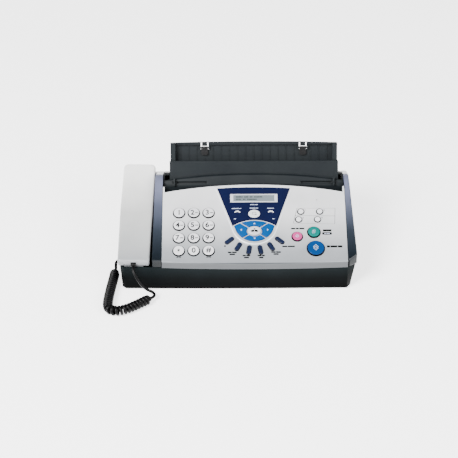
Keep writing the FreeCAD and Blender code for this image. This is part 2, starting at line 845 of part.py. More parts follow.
def make_control_panel():
    body = new_body("control_panel_plate", is_node=False)
    level = Rotation(X_AXIS, -size("panel_slope"))
    lip = new_sketch(body, at=(0, 0, 0), turn=level)
    outline(lip, [
        ("-panel_half_width", 4.4, "lip_radius"), ("panel_half_width", 4.4),
        ("panel_half_width", 7.0, "-lip_radius"), ("-panel_half_width", 7.0)])
    pad(body, lip, 6)
    under = new_sketch(body, at=(0, 0, 0), turn=level)
    outline(under, [
        ("-panel_half_width", 4.4, "lip_radius"), ("panel_half_width", 4.4),
        ("panel_half_width", 7.0, "-lip_radius"), ("-panel_half_width", 7.0)])
    pad(body, under, "lip_height", back=True)
    above = new_sketch(body)
    box_outline(above, -150, -10, 150, 150)
    pocket(body, above, 20, back=True)
    plate = new_sketch(body)
    outline(plate, [
        ("-panel_half_width", "panel_corner_front", "panel_front_radius"),
        ("panel_half_width", "panel_corner_front"),
        ("panel_half_width", "panel_corner_back", "panel_back_radius"),
        ("-panel_half_width", "panel_corner_back")])
    pad(body, plate, "panel_thickness", back=True)
    for side in (-1, 1):
        skirt = new_sketch(body, at=(0, 0, -1))
        low, high = sorted((side * size("panel_half_width"),
                            side * size("panel_half_width - 2.5")))
        box_outline(skirt, low, 8.5, high, "panel_corner_back")
        pad(body, skirt, "skirt_depth - 1", back=True)
        ear = new_sketch(body, "YZ_Plane", at=(0, 0, low))
        outline(ear, [
            ("panel_corner_back - 6", -1.2), ("panel_corner_back - 6", -7.0),
            ("hinge_v + 1", -7.0), ("hinge_v + 4.4", "hinge_n"),
            ("hinge_v + 3", 0.2), ("panel_corner_back - 1", 0.0)])
        pad(body, ear, 2.5)
        pin = new_sketch(body, "YZ_Plane",
                         at=(0, 0, low if side > 0 else low - 3.4))
        circles(pin, [("hinge_v", "hinge_n", "hinge_pin_radius")])
        pad(body, pin, 5.9)
    step = body.newObject("PartDesign::AdditiveLoft", "shield_step")
    foot = new_sketch(body, at=(0, 0, -0.2))
    outline(foot, shield_corners(size("shield_border"), 5.0))
    head = new_sketch(body, at=(0, 0, "shield_rise"))
    outline(head, shield_corners(1.6, 2.2))
    step.Profile = foot
    step.Sections = [head]
    step.Ruled = True
    doc.recompute()
    body.Tip = step
    seat = new_sketch(body, at=(0, 0, "shield_rise - window_thickness + 0.3"))
    window_outline(seat, 0.25)
    pocket(body, seat, 5, back=True)
    cut_key_holes(body)
    body.Placement = panel_place()
    tool = doc.addObject("Part::Feature", "arrow_openings")
    tool.Shape = Part.makeCompound(arrow_solids(0.3, -6, 8))
    tool.Placement = panel_place()
    joined("Cut", body, tool, "control_panel")
    doc.recompute()


def window_outline(flat, grow):
    """The shield above the arc that the arrow keys start from. The arc meets
    a straight side where the side's point is one radius from its middle."""
    corners = shield_corners(grow, grow)
    touch_x, touch_v = corners[1]
    radius = size("window_arc_radius")
    drop = touch_v - (size("window_arc_top_v") - radius + 1.0 - grow)
    a = 1 + SHIELD_LEAN ** 2
    b = SHIELD_LEAN * touch_x + drop
    c = touch_x ** 2 + drop ** 2 - radius ** 2
    run = (math.sqrt(b * b - a * c) - b) / a
    x, v = touch_x + SHIELD_LEAN * run, touch_v + run
    outline(flat, [(-x, v, -radius), (x, v), corners[2], corners[3]])


def key_rows():
    """Round keys: name, x and v of the middle, radius and rise."""
    names = ["key_star", "key_0", "key_hash", "key_7", "key_8", "key_9",
             "key_4", "key_5", "key_6", "key_1", "key_2", "key_3"]
    rows = []
    for i, name in enumerate(names):
        rows.append((name, f"key_column_x + {i % 3 - 1} * key_pitch",
                     f"key_row_v + {i // 3} * key_pitch",
                     "key_radius", "key_rise"))
    for i, (x, v) in enumerate(((69.5, 89.8), (97.6, 89.8),
                                (66.0, 76.0), (93.9, 76.0)), start=1):
        rows.append((f"one_touch_key_{i}", x, v, "one_touch_radius", 1.6))
    rows.append(("stop_key", 62.9, 46.1, "stop_radius", "key_rise"))
    rows.append(("copy_key", 87.7, 53.6, "copy_radius", 2.8))
    rows.append(("start_key", 89.5, 25.6, "start_radius", 3.2))
    return rows


def fan_places():
    """The six keys that fan out under the shield: x, v and angle."""
    places = []
    for i in range(6):
        angle = (i - 2.5) * size("fan_angle")
        turn = math.radians(angle)
        places.append((math.sin(turn) * size("fan_radius"),
                       size("fan_centre_v") - math.cos(turn) * size("fan_radius"),
                       angle))
    return places


def stadium(flat, half_length, half_width):
    """A bar with round ends, along the sketch's y direction."""
    run = f"{half_length} - ({half_width})"
    outline(flat, [
        (f"-({half_width})", f"-({run})", half_width),
        (half_width, f"-({run})"),
        (half_width, run, half_width), (f"-({half_width})", run)])


def oval(flat, half_width, half_height, v):
    """An ellipse that is wider than it is high, its middle at (0, v)."""
    a, b = size(half_width), size(half_height)
    index = flat.addGeometry(
        Part.Ellipse(Vector(a, size(v), 0), Vector(0, size(v) + b, 0),
                     Vector(0, size(v), 0)), False)
    flat.addConstraint(Sketcher.Constraint("Block", index))


def cut_key_holes(body):
    holes = new_sketch(body, at=(0, 0, 6))
    circles(holes, [(x, v, f"{radius} + key_gap")
                    for _, x, v, radius, _ in key_rows()])
    circles(holes, [(93.7, 110.9, 0.7)])
    box_outline(holes, "-display_half_width - 0.2", "display_low_v - 0.2",
                "display_half_width + 0.2", "display_high_v + 0.2")
    oval(holes, "menu_half_width + key_gap", "menu_half_height + key_gap", "menu_v")
    oval(holes, "mode_half_width + key_gap", "mode_half_height + key_gap", "mode_v")
    pocket(body, holes, 12)
    for x, v, angle in fan_places():
        slot = new_sketch(body, at=(x, v, 6),
                          turn=Rotation(Vector(0, 0, 1), angle))
        stadium(slot, "fan_half_length + key_gap", "fan_half_width + key_gap")
        pocket(body, slot, 12)


def make_key(name, place, draw, rise, soft=0.8):
    """A key: a cap above the panel, and a wider flange that keeps it in."""
    body = new_body(name)
    flange = new_sketch(body, at=(0, 0, "-panel_thickness - 0.2"))
    draw(flange, "key_flange")
    pad(body, flange, "key_flange_thickness", back=True)
    cap = new_sketch(body, at=(0, 0, "-panel_thickness - 0.3"))
    draw(cap, "0")
    pad(body, cap, f"panel_thickness + 0.3 + {rise}")
    top = size(rise) - 0.01
    fillet(body, soft, lambda p, e: p.z > top)
    body.Placement = place


def make_keys():
    for name, x, v, radius, rise in key_rows():
        make_key(name, panel_place(x, v),
                 lambda flat, grow, r=radius: circles(
                     flat, [(0, 0, f"{r} + {grow}")]), rise)
    for i, (x, v, angle) in enumerate(fan_places(), start=1):
        place = panel_place(x, v).multiply(
            Placement(Vector(), Rotation(Vector(0, 0, 1), angle)))
        make_key(f"function_key_{i}", place,
                 lambda flat, grow: stadium(flat, f"fan_half_length + {grow}",
                                            f"fan_half_width + {grow}"), 1.8)
    make_key("menu_key", panel_place(0, "menu_v"),
             lambda flat, grow: oval(flat, f"menu_half_width + {grow} / 2",
                                     f"menu_half_height + {grow} / 2", 0),
             "shield_rise + 2.0")
    make_key("mode_key", panel_place(0, "mode_v"),
             lambda flat, grow: oval(flat, f"mode_half_width + {grow}",
                                     f"mode_half_height + {grow}", 0),
             "shield_rise + 1.8")


def arrow_solids(grow, low, high):
    """The four arrow keys' shapes in the panel's frame: an eye between the
    window's arc and the shield's round bottom, with the middle key's oval
    and two crossing bars cut out. Returns up, down, left and right."""
    inset = 2.2 - grow
    bottom = shield_prism(inset, low, high)
    arc_radius = size("window_arc_radius") - inset + 1.0
    arc = Part.makeCylinder(
        arc_radius, high - low,
        Vector(0, size("window_arc_top_v - window_arc_radius"), low))
    eye = bottom.common(arc)
    hub = Part.Ellipse(
        Vector(size("menu_half_width") + 2.0 - grow, size("menu_v"), low),
        Vector(0, size("menu_v + menu_half_height") + 2.0 - grow, low),
        Vector(0, size("menu_v"), low))
    hub_wire = Part.Wire([hub.toShape()])
    eye = eye.cut(Part.Face(hub_wire).extrude(Vector(0, 0, high - low)))
    gap = size("arrow_gap") - 2 * grow
    for angle in (35, -35):
        bar = Part.makeBox(140, gap, high - low, Vector(-70, -gap / 2, low))
        bar.rotate(Vector(), Vector(0, 0, 1), angle)
        bar.translate(Vector(0, size("menu_v"), 0))
        eye = eye.cut(bar)
    found = sorted(eye.Solids, key=lambda s: s.CenterOfMass.y)
    if len(found) != 4:
        raise RuntimeError("the arrow keys need four pieces")
    down, up = found[0], found[-1]
    left, right = sorted(found[1:-1], key=lambda s: s.CenterOfMass.x)
    return [up, down, left, right]


def shield_prism(inset, low, high):
    """The shield's outline, drawn in by `inset`, as a solid slab."""
    corners = shield_corners(-inset, 0)
    (ax, ay, radius), (bx, by) = corners[0], corners[1]
    cx, cy = corners[2][0], corners[2][1]
    middle = Vector(0, size("shield_bottom_v") + inset, low)
    edges = [
        Part.Arc(Vector(ax, ay, low), middle, Vector(bx, by, low)).toShape(),
        Part.LineSegment(Vector(bx, by, low), Vector(cx, cy, low)).toShape(),
        Part.LineSegment(Vector(cx, cy, low), Vector(-cx, cy, low)).toShape(),
        Part.LineSegment(Vector(-cx, cy, low), Vector(ax, ay, low)).toShape()]
    return Part.Face(Part.Wire(edges)).extrude(Vector(0, 0, high - low))


def make_arrow_keys():
    names = ("arrow_key_up", "arrow_key_down", "arrow_key_left",
             "arrow_key_right")
    under = -size("panel_thickness") - 0.2
    top = size("shield_rise") + 1.4
    caps = arrow_solids(0.0, under - 0.1, top)
    flanges = arrow_solids(0.75, under - size("key_flange_thickness"), under)
    for name, cap, flange in zip(names, caps, flanges):
        key = cap.fuse(flange).removeSplitter()
        made = doc.addObject("Part::Feature", name + "_shape")
        made.Label = name
        made.Shape = key
        made.Placement = panel_place()
        NODES[name] = made


def make_display():
    body = new_body("display_window")
    flat = new_sketch(body, at=(0, 0, "shield_rise - window_thickness + 0.35"))
    window_outline(flat, 0.0)
    pad(body, flat, "window_thickness")
    holes = new_sketch(body, at=(0, 0, 6))
    box_outline(holes, "-display_half_width - 0.2", "display_low_v - 0.2",
                "display_half_width + 0.2", "display_high_v + 0.2")
    oval(holes, "mode_half_width + key_gap", "mode_half_height + key_gap", "mode_v")
    pocket(body, holes, 12)
    body.Placement = panel_place()
    module = new_body("lcd_module")
    frame = new_sketch(module, at=(0, 0, -4.5))
    box_outline(frame, "-display_half_width", "display_low_v",
                "display_half_width", "display_high_v")
    pad(module, frame, "shield_rise + 5.1")
    glass = new_sketch(module, at=(0, 0, "shield_rise + 2"))
    box_outline(glass, "-glass_half_width", "glass_low_v",
                "glass_half_width", "glass_high_v")
    pocket(module, glass, 2.4)
    fillet(module, 0.5, lambda p, e: p.z > size("shield_rise") + 0.59 and
           (abs(p.x) > 35 or p.y < size("display_low_v") + 0.1 or
            p.y > size("display_high_v") - 0.1))
    module.Placement = panel_place()


def make_scanner():
    body = new_body("scanner_unit")
    bar = new_sketch(body, "YZ_Plane", at=(0, 0, -113))
    outline(bar, [
        (112, -18), (130, -18), (130, -10), (126, -8), (112, -8)])
    pad(body, bar, 226)
    glass = new_sketch(body, at=(0, 0, -19))
    box_outline(glass, -108, 115, 108, 127)
    pocket(body, glass, 1.8, back=True)
    for x in (-113, 107):
        post = new_sketch(body, at=(0, 0, -10))
        box_outline(post, x, 113, x + 6, 123)
        pad(body, post, "10 - panel_thickness")
    body.Placement = panel_place()


# ------------------------------------------------------ print mechanism

def spindle(name, profile, y, z):
    """A turned piece on an axis along X: profile is (x, radius) steps."""
    body = new_body(name)
    flat = new_sketch(body)
    corners = [(profile[0][0], 0)]
    for (x, radius), following in zip(profile, profile[1:]):
        corners += [(x, radius), (following[0], radius)]
    corners.append((profile[-1][0], 0))
    outline(flat, corners)
    made = body.newObject("PartDesign::Revolution", name + "_turned")
    made.Profile = flat
    axis = next(f for f in body.Origin.OriginFeatures if f.Role == "X_Axis")
    made.ReferenceAxis = (axis, [""])
    made.Angle = 360
    doc.recompute()
    body.Placement = Placement(Vector(0, size(y), size(z)), Rotation())
    return body


def gear(name, teeth, module, thickness, bore):
    """A spur gear with straight-sided teeth, its bore left open."""
    pitch = teeth * module / 2
    points = []
    for i in range(teeth):
        for part, radius in ((-0.28, pitch - 1.2 * module),
                             (-0.14, pitch + 0.9 * module),
                             (0.14, pitch + 0.9 * module),
                             (0.28, pitch - 1.2 * module)):
            angle = 2 * math.pi * (i + part) / teeth
            points.append(Vector(0, radius * math.cos(angle),
                                 radius * math.sin(angle)))
    points.append(points[0])
    wheel = Part.Face(Part.makePolygon(points)).extrude(
        Vector(thickness, 0, 0))
    hub = Part.makeCylinder(bore, thickness, Vector(), X_AXIS)
    made = doc.addObject("Part::Feature", name)
    made.Shape = wheel.cut(hub)
    return made


def make_platen():
    centre = size("panel_x")
    y, z = "platen_y", "platen_z"
    start = centre - size("bracket_x") - 3.5
    shaft = rod("platen_shaft", (start, y, z), "shaft_radius",
                "2 * bracket_x + 14", X_AXIS)
    outer = rod("platen_rubber", (centre - size("platen_length") / 2, y, z),
                "platen_radius", "platen_length", X_AXIS)
    core = rod("platen_core", (centre - size("platen_length") / 2, y, z),
               "shaft_radius", "platen_length", X_AXIS)
    sleeve = joined("Cut", outer, core)
    wheel = gear("platen_gear", 22, 1.0, 5.0, size("shaft_radius"))
    wheel.Placement = Placement(
        Vector(centre + size("bracket_x") + 3.5, size(y), size(z)), Rotation())
    compound("platen_roller", [shaft, sleeve, wheel])


def make_ribbon_spools():
    centre = size("panel_x")
    span = size("bracket_x")
    shaft = size("shaft_radius")
    for name, roll, y, z in (
            ("ribbon_supply_spool", 13.0, "supply_y", "supply_z"),
            ("ribbon_takeup_spool", 7.0, "takeup_y", "takeup_z")):
        spindle(name, [
            (centre - span - 3.5, shaft), (centre - 108, roll + 2),
            (centre - 106.5, roll), (centre + 106.5, roll + 2),
            (centre + 108, shaft), (centre + span + 2.5, shaft)], y, z)


def make_print_head():
    body = new_body("print_head")
    reach = "bracket_x - bracket_thickness / 2"
    bar = new_sketch(body, "YZ_Plane", at=(0, 0, f"panel_x - ({reach})"))
    outline(bar, [
        (-61, 41), (-39, 41), (-39, 45.4), (-46.5, 45.4), (-48, 46.6),
        (-52, 46.6), (-53.5, 45.4), (-61, 45.4)])
    pad(body, bar, f"2 * ({reach})")
    for y in (-60, -54.5, -49, -43.5):
        fin = new_sketch(body, "YZ_Plane", at=(0, 0, "panel_x - 95"))
        box_outline(fin, y, 37, y + 2.5, 42)
        pad(body, fin, 190)


def make_motor():
    y, z = -30.0, 28.0
    can = rod("motor_can", (141, y, z), 14.0, 14.0, X_AXIS)
    shaft = rod("motor_shaft", (155, y, z), 3.0, 6.0, X_AXIS)
    flange = solid_block("motor_flange", (140, y - 19, z - 5), (1.0, 38, 10))
    first = joined("Fuse", can, flange)
    joined("Fuse", first, shaft, "drive_motor")


def make_main_board():
    board = solid_block("board_sheet", (-100, 14, 9.0), (242, 84, 1.6))
    members = [board]
    blocks = [
        ("transformer", (92, 40, 10.6), (34, 28, 24)),
        ("relay", (66, 62, 10.6), (12, 20, 12)),
        ("processor", (-20, 40, 10.6), (26, 26, 2.4)),
        ("memory", (14, 34, 10.6), (12, 22, 2.4)),
        ("modem", (-60, 42, 10.6), (18, 18, 2.4)),
        ("heat_sink", (62, 22, 10.6), (26, 6, 18))]
    members += [solid_block(*block) for block in blocks]
    for i, (x, y, radius, height) in enumerate((
            (135, 34, 8, 25), (135, 56, 5, 16), (50, 40, 5, 14),
            (-84, 52, 4, 11))):
        members.append(rod(f"capacitor_{i}", (x, y, 10.6), radius, height))
    for i, x in enumerate(JACK_XS):
        shell = solid_block(f"jack_{i}", (x - 7.2, 90, 10.6), (14.4, 16.0, 14.4))
        hole = solid_block(f"jack_hole_{i}", (x - 5, 94, 13.2), (10, 14, 9))
        members.append(joined("Cut", shell, hole))
    compound("main_board", members)


# --------------------------------------------------------------- handset

def handset_sides(flat, grow=0):
    """The handset's plan, wider at the mouthpiece."""
    outline(flat, [
        (f"-handset_front_half + {grow}", f"{grow}"),
        (f"handset_front_half - {grow}", f"{grow}"),
        (f"handset_middle_half - {grow}", "handset_length / 2"),
        (f"handset_back_half - {grow}", f"handset_length - {grow}"),
        (f"-handset_back_half + {grow}", f"handset_length - {grow}"),
        (f"-handset_middle_half + {grow}", "handset_length / 2")])


def trim_to_plan(body, grow):
    """Cuts away what lies outside the handset's plan."""
    around = new_sketch(body, at=(0, 0, 10))
    box_outline(around, -60, -30, 60, "handset_length + 30")
    handset_sides(around, grow)
    pocket(body, around, 60)


def make_handset():
    shell = new_body("handset_back_shell")
    side = new_sketch(shell, "YZ_Plane", at=(0, 0, -30))
    outline(side, [
        (0, "-parting_depth"), ("handset_length", "-parting_depth"),
        ("handset_length", 0, "handset_crown_radius"), (0, 0)])
    pad(shell, side, 60)
    trim_to_plan(shell, 0)
    fillet(shell, 7.0, lambda p, e: vertical(e, Vector(0, 0, 1)) and p.y > 100)
    fillet(shell, 4.0, lambda p, e: vertical(e, Vector(0, 0, 1)) and p.y < 20)
    fillet(shell, 3.0, lambda p, e: p.z > -0.01)
    inside = new_sketch(shell, at=(0, 0, "-parting_depth"))
    outline(inside, [(-19, 15), (19, 15), (16.5, 172), (-16.5, 172)])
    pocket(shell, inside, 7.0, back=True)
    socket = new_sketch(shell, "XZ_Plane", at=(0, 0, 4))
    box_outline(socket, -4.2, "-plug_depth - 3.2", 4.2, "-plug_depth + 3.2")
    pocket(shell, socket, 15.5)
    shell.Placement = handset_place()

    front = new_body("handset_front_shell")
    side = new_sketch(front, "YZ_Plane", at=(0, 0, -30))
    outline(side, [
        (0, "-parting_depth - seam_gap"), (1.0, -19.0), (12.5, "-cup_depth"),
        ("front_cup_end - 6", "-cup_depth"),
        ("front_cup_end + 6", "-grip_depth"),
        ("rear_cup_start - 6", "-grip_depth"),
        ("rear_cup_start + 4", "-cup_depth"),
        ("handset_length - 5", "-cup_depth"),
        ("handset_length", "-parting_depth - seam_gap")])
    pad(front, side, 60)
    trim_to_plan(front, 0.8)
    narrow = new_sketch(front, "XZ_Plane", at=(0, 0, 20))
    for left, right in ((-30, "-cup_half_width"), ("cup_half_width", 30)):
        box_outline(narrow, left, -40, right, -12.4)
    pocket(front, narrow, 230)
    fillet(front, 2.0, lambda p, e: p.z < size("-cup_depth") + 0.01)
    inside = new_sketch(front, at=(0, 0, "-parting_depth - seam_gap"))
    box_outline(inside, -11.6, 14, 11.6, 172)
    pocket(front, inside, 5.2)
    for low, high in ((14, "front_cup_end - 8"), ("rear_cup_start + 7", 172)):
        well = new_sketch(front, at=(0, 0, "-parting_depth - seam_gap"))
        box_outline(well, -11.6, low, 11.6, high)
        pocket(front, well, 15)
    add_receiver_holes(front)
    front.Placement = handset_place()


def add_receiver_holes(front):
    """The sound holes of the earpiece and the mouthpiece."""
    holes = new_sketch(front, at=(0, 0, "-cup_depth - 2"))
    spots = [(0, 158, 0.9), (0, 28, 0.9)]
    for i in range(6):
        turn = math.radians(60 * i)
        spots.append((5 * math.cos(turn), 158 + 5 * math.sin(turn), 0.9))
    circles(holes, spots)
    pocket(front, holes, 6, back=True)


def make_plugs():
    plug = new_body("handset_plug")
    flat = new_sketch(plug, "XZ_Plane", at=(0, 0, 2.5))
    box_outline(flat, -3.9, "-plug_depth - 2.9", 3.9, "-plug_depth + 2.9")
    pad(plug, flat, 13.5, back=True)
    neck = new_sketch(plug, "XZ_Plane", at=(0, 0, 4.5))
    circles(neck, [(0, "-plug_depth", 2.6)])
    pad(plug, neck, 3, back=True)
    plug.Placement = handset_place()
    base = new_body("base_plug")
    flat = new_sketch(base, "YZ_Plane", at=(0, 0, -171))
    box_outline(flat, SOCKET_Y - 3.9, SOCKET_Z - 3.1,
                SOCKET_Y + 3.9, SOCKET_Z + 3.1)
    pad(base, flat, 14)
    neck = new_sketch(base, "YZ_Plane", at=(0, 0, -173.5))
    circles(neck, [(SOCKET_Y, SOCKET_Z, 2.6)])
    pad(base, neck, 3)


def make_hook_switch():
    body = new_body("hook_switch")
    stem = new_sketch(body, at=(0, 88, "-bed_depth - 8"))
    box_outline(stem, -4.0, -3.0, 4.0, 3.0)
    pad(body, stem, "8 + bed_depth - grip_depth - 0.4")
    fillet(body, 1.0, lambda p, e: p.z > size("-grip_depth") - 0.41)
    collar = new_sketch(body, at=(0, 88, "-bed_depth - 8"))
    box_outline(collar, -6.0, -5.0, 6.0, 5.0)
    pad(body, collar, 1.2)
    body.Placement = handset_place()


# ------------------------------------------------------------------ cord

COIL_ROUTE = [
    (-125.6, -133.2, 7.6), (-136.5, -142.6, 7.6), (-148.2, -152.6, 7.6),
    (-161.0, -161.6, 7.6), (-174.5, -166.0, 7.6), (-185.5, -160.0, 7.6),
    (-187.6, -146.0, 7.6), (-186.2, -124.0, 7.6), (-184.4, -102.0, 7.6),
    (-182.2, -80.0, 7.6), (-180.6, -62.0, 7.8),
]
TAIL_ROUTE = [
    (-147.6, -113.6, 33.6), (-140.4, -118.2, 22.4), (-131.6, -119.2, 13.4),
    (-125.0, -118.3, 9.4), (-121.4, -120.8, 8.2), (-119.9, -124.9, 7.7),
    (-121.0, -129.2, 7.6), (-125.6, -133.2, 7.6),
]
BASE_LEAD = [
    (-173.5, SOCKET_Y, SOCKET_Z), (-177.3, SOCKET_Y, SOCKET_Z),
    (-180.3, -44.9, 12.6), (-180.7, -49.4, 9.4), (-179.9, -54.0, 7.9),
    (-180.6, -62.0, 7.8),
]


def handset_exit():
    """Where the cord leaves the handset's plug, and a point further out."""
    place = handset_place()
    depth = size("plug_depth")
    return (place.multVec(Vector(0, -4.5, -depth)),
            place.multVec(Vector(0, -11.0, -depth)))


def rounded_route(points):
    """Straight runs joined by tangent arcs, each arc as large as its two
    runs allow: 0.45 of the shorter run over the tangent of half the turn."""
    points = [Vector(*p) for p in points]
    edges = []
    here = points[0]
    radii = []
    for before, corner, after in zip(points, points[1:], points[2:]):
        back = (before - corner)
        ahead = (after - corner)
        turn = math.pi - back.getAngle(ahead)
        cut = 0.45 * min(back.Length, ahead.Length)
        back.normalize()
        ahead.normalize()
        radii.append(cut / math.tan(turn / 2))
        first = corner + back * cut
        last = corner + ahead * cut
        bisector = (back + ahead).normalize()
        rise = math.hypot(cut, radii[-1]) - radii[-1]
        edges.append(Part.LineSegment(here, first).toShape())
        edges.append(Part.Arc(first, corner + bisector * rise, last).toShape())
        here = last
    edges.append(Part.LineSegment(here, points[-1]).toShape())
    print("cord radii", [round(r, 1) for r in radii])
    return Part.Wire(edges)


def tube(points, radius):
    """A round tube along a route, checked against section times length."""
    wire = rounded_route(points)
    start = wire.Edges[0]
    heading = start.tangentAt(start.FirstParameter)
    ring = Part.Wire([Part.makeCircle(
        radius, start.valueAt(start.FirstParameter), heading)])
    solid = wire.makePipeShell([ring], True, False)
    expected = math.pi * radius * radius * wire.Length
    if abs(solid.Volume / expected - 1) > 0.02:
        raise RuntimeError("a cord's tube has the wrong volume")
    print("cord length", round(wire.Length, 1))
    return solid


def make_cord():
    coil = doc.addObject("Part::Feature", "cord_coil_shape")
    coil.Label = "cord_coil"
    coil.Shape = tube(COIL_ROUTE, size("coil_radius"))
    NODES["cord_coil"] = coil
    first, second = handset_exit()
    tail = [tuple(first), tuple(second)] + TAIL_ROUTE
    ends = doc.addObject("Part::Feature", "cord_ends_shape")
    ends.Label = "cord_straight_ends"
    ends.Shape = Part.makeCompound([
        tube(tail, size("cord_radius")), tube(BASE_LEAD, size("cord_radius"))])
    NODES["cord_straight_ends"] = ends


# ------------------------------------------------------------------ build

make_base_housing()
make_feet()
make_screws()
make_right_cover()
make_handset_cradle()
make_rear_cover()
make_document_guides()
make_paper_tray()
make_tray_front_cover()
make_support_arms()
make_control_panel()
make_keys()
make_arrow_keys()
make_display()
make_scanner()
make_platen()
make_ribbon_spools()
make_print_head()
make_motor()
make_main_board()
make_handset()
make_plugs()
make_hook_switch()
make_cord()
doc.recompute()

for thing in doc.Objects:
    if "Invalid" in thing.State or "Error" in thing.State:
        raise RuntimeError(f"{thing.Label} failed: {thing.State}")
for name, thing in NODES.items():
    if thing.Shape.isNull() or not thing.Shape.isValid():
        raise RuntimeError(f"{name} has no valid shape")
for name, thing in NODES.items():
    thing.Shape.exportStep(f"parts/{name}.step")
print(len(NODES), "nodes")
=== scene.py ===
import math

import bpy
import numpy as np
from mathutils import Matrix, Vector


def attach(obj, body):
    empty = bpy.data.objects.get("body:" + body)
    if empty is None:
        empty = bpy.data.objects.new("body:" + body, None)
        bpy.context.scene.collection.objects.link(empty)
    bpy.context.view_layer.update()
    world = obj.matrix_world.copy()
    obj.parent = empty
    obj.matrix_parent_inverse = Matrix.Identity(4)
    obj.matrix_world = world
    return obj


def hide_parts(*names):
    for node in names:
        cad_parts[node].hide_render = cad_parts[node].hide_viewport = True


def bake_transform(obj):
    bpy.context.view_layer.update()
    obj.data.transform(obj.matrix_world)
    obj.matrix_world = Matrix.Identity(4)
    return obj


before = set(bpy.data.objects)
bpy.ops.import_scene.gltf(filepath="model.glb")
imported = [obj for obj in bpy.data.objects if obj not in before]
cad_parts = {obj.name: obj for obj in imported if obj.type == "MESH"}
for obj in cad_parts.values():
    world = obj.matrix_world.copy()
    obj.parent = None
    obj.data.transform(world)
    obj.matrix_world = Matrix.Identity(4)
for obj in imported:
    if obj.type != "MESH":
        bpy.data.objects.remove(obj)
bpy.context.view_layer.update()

# A desktop fax machine with a corded handset. Everything is in metres, in the
# frame of the CAD model: +X right, +Y back, +Z up, the table at z = 0.

MM = 0.001


# ------------------------------------------------------------- the camera

def look_from(target, distance, azimuth, elevation):
    """A point at a distance from a target, on a line that leans back from it."""
    turn, lift = math.radians(azimuth), math.radians(elevation)
    away = Vector((math.sin(turn) * math.cos(lift),
                   -math.cos(turn) * math.cos(lift), math.sin(lift)))
    return Vector(target) + away * distance


def point_at(thing, target):
    """Turns a camera or lamp so that it looks at a target."""
    aim = Vector(target) - thing.location
    thing.rotation_euler = aim.to_track_quat("-Z", "Y").to_euler()


CAMERA_TARGET = (-0.01095, -0.05274, 0.07547)
CAMERA_DISTANCE = 2.328
CAMERA_AZIMUTH = -0.5
CAMERA_ELEVATION = 32.0
LENS_MM = 124.0

camera = bpy.data.objects.new("camera", bpy.data.cameras.new("camera"))
bpy.context.collection.objects.link(camera)
camera.data.lens = LENS_MM
camera.data.sensor_width = 36.0
camera.data.clip_start = 0.05
camera.data.clip_end = 30.0
camera.location = look_from(CAMERA_TARGET, CAMERA_DISTANCE, CAMERA_AZIMUTH,
                            CAMERA_ELEVATION)
point_at(camera, CAMERA_TARGET)
bpy.context.scene.camera = camera


# -------------------------------------------------------------- materials

def paint(hex_code):
    """A six-figure sRGB colour as linear red, green, blue and alpha."""
    parts = [int(hex_code[i:i + 2], 16) / 255 for i in (0, 2, 4)]
    return tuple(v / 12.92 if v <= 0.04045 else ((v + 0.055) / 1.055) ** 2.4
                 for v in parts) + (1.0,)


def add(tree, kind, settings=None, **inputs):
    """Adds a node, sets its properties, and sets or links its inputs. The
    setting `stops` fills a colour ramp with positions and colours."""
    made = tree.nodes.new("ShaderNode" + kind)
    settings = dict(settings or {})
    stops = settings.pop("stops", [])
    for name, value in settings.items():
        setattr(made, name, value)
    for name, value in inputs.items():
        socket = made.inputs[name.replace("_", " ")]
        if isinstance(value, bpy.types.NodeSocket):
            tree.links.new(value, socket)
        else:
            socket.default_value = value
    if stops:
        spots = made.color_ramp.elements
        spots[0].position, spots[1].position = stops[0][0], stops[-1][0]
        for position, _ in stops[1:-1]:
            spots.new(position)
        for spot, (_, colour) in zip(spots, stops):
            spot.color = colour
    return made


def start_material(name, **shader):
    """An empty material with one Principled shader, set from names."""
    made = bpy.data.materials.new(name)
    made.use_nodes = True
    tree = made.node_tree
    tree.nodes.clear()
    out = add(tree, "OutputMaterial")
    bsdf = add(tree, "BsdfPrincipled", None, **shader)
    tree.links.new(bsdf.outputs[0], out.inputs[0])
    return made, tree, bsdf


# The key panel's face, in millimetres: it starts at its front lip and slopes
# up to the back, and its own normal points outward.
SLOPE = math.radians(26.0)
LIP_DEPTH = 106.3
LIP_HEIGHT = 48.8
PANEL_MIDDLE = 26.5
PANEL_LEVEL = LIP_DEPTH * math.sin(SLOPE) + LIP_HEIGHT * math.cos(SLOPE)
OUTWARD = (0.0, -math.sin(SLOPE), math.cos(SLOPE))
UPWARD = (0.0, 0.0, 1.0)
BACKWARD = (0.0, 1.0, 0.0)


def banded(tree, where, shade, axis, stops):
    """Multiplies a colour by tints that change along an axis of the machine;
    each stop is a distance in millimetres and a tint."""
    level = add(tree, "VectorMath", {"operation": "DOT_PRODUCT"})
    tree.links.new(where, level.inputs[0])
    level.inputs[1].default_value = axis
    first, last = stops[0][0], stops[-1][0]
    share = add(tree, "MapRange", None, Value=level.outputs["Value"],
                From_Min=first * MM, From_Max=last * MM)
    tints = add(tree, "ValToRGB", {"stops": [
        ((distance - first) / (last - first), paint(tint))
        for distance, tint in stops]}, Fac=share.outputs[0])
    mix = add(tree, "Mix", {"data_type": "RGBA", "blend_type": "MULTIPLY"})
    mix.inputs[0].default_value = 1.0
    tree.links.new(shade, mix.inputs[6])
    tree.links.new(tints.outputs[0], mix.inputs[7])
    return mix.outputs[2]


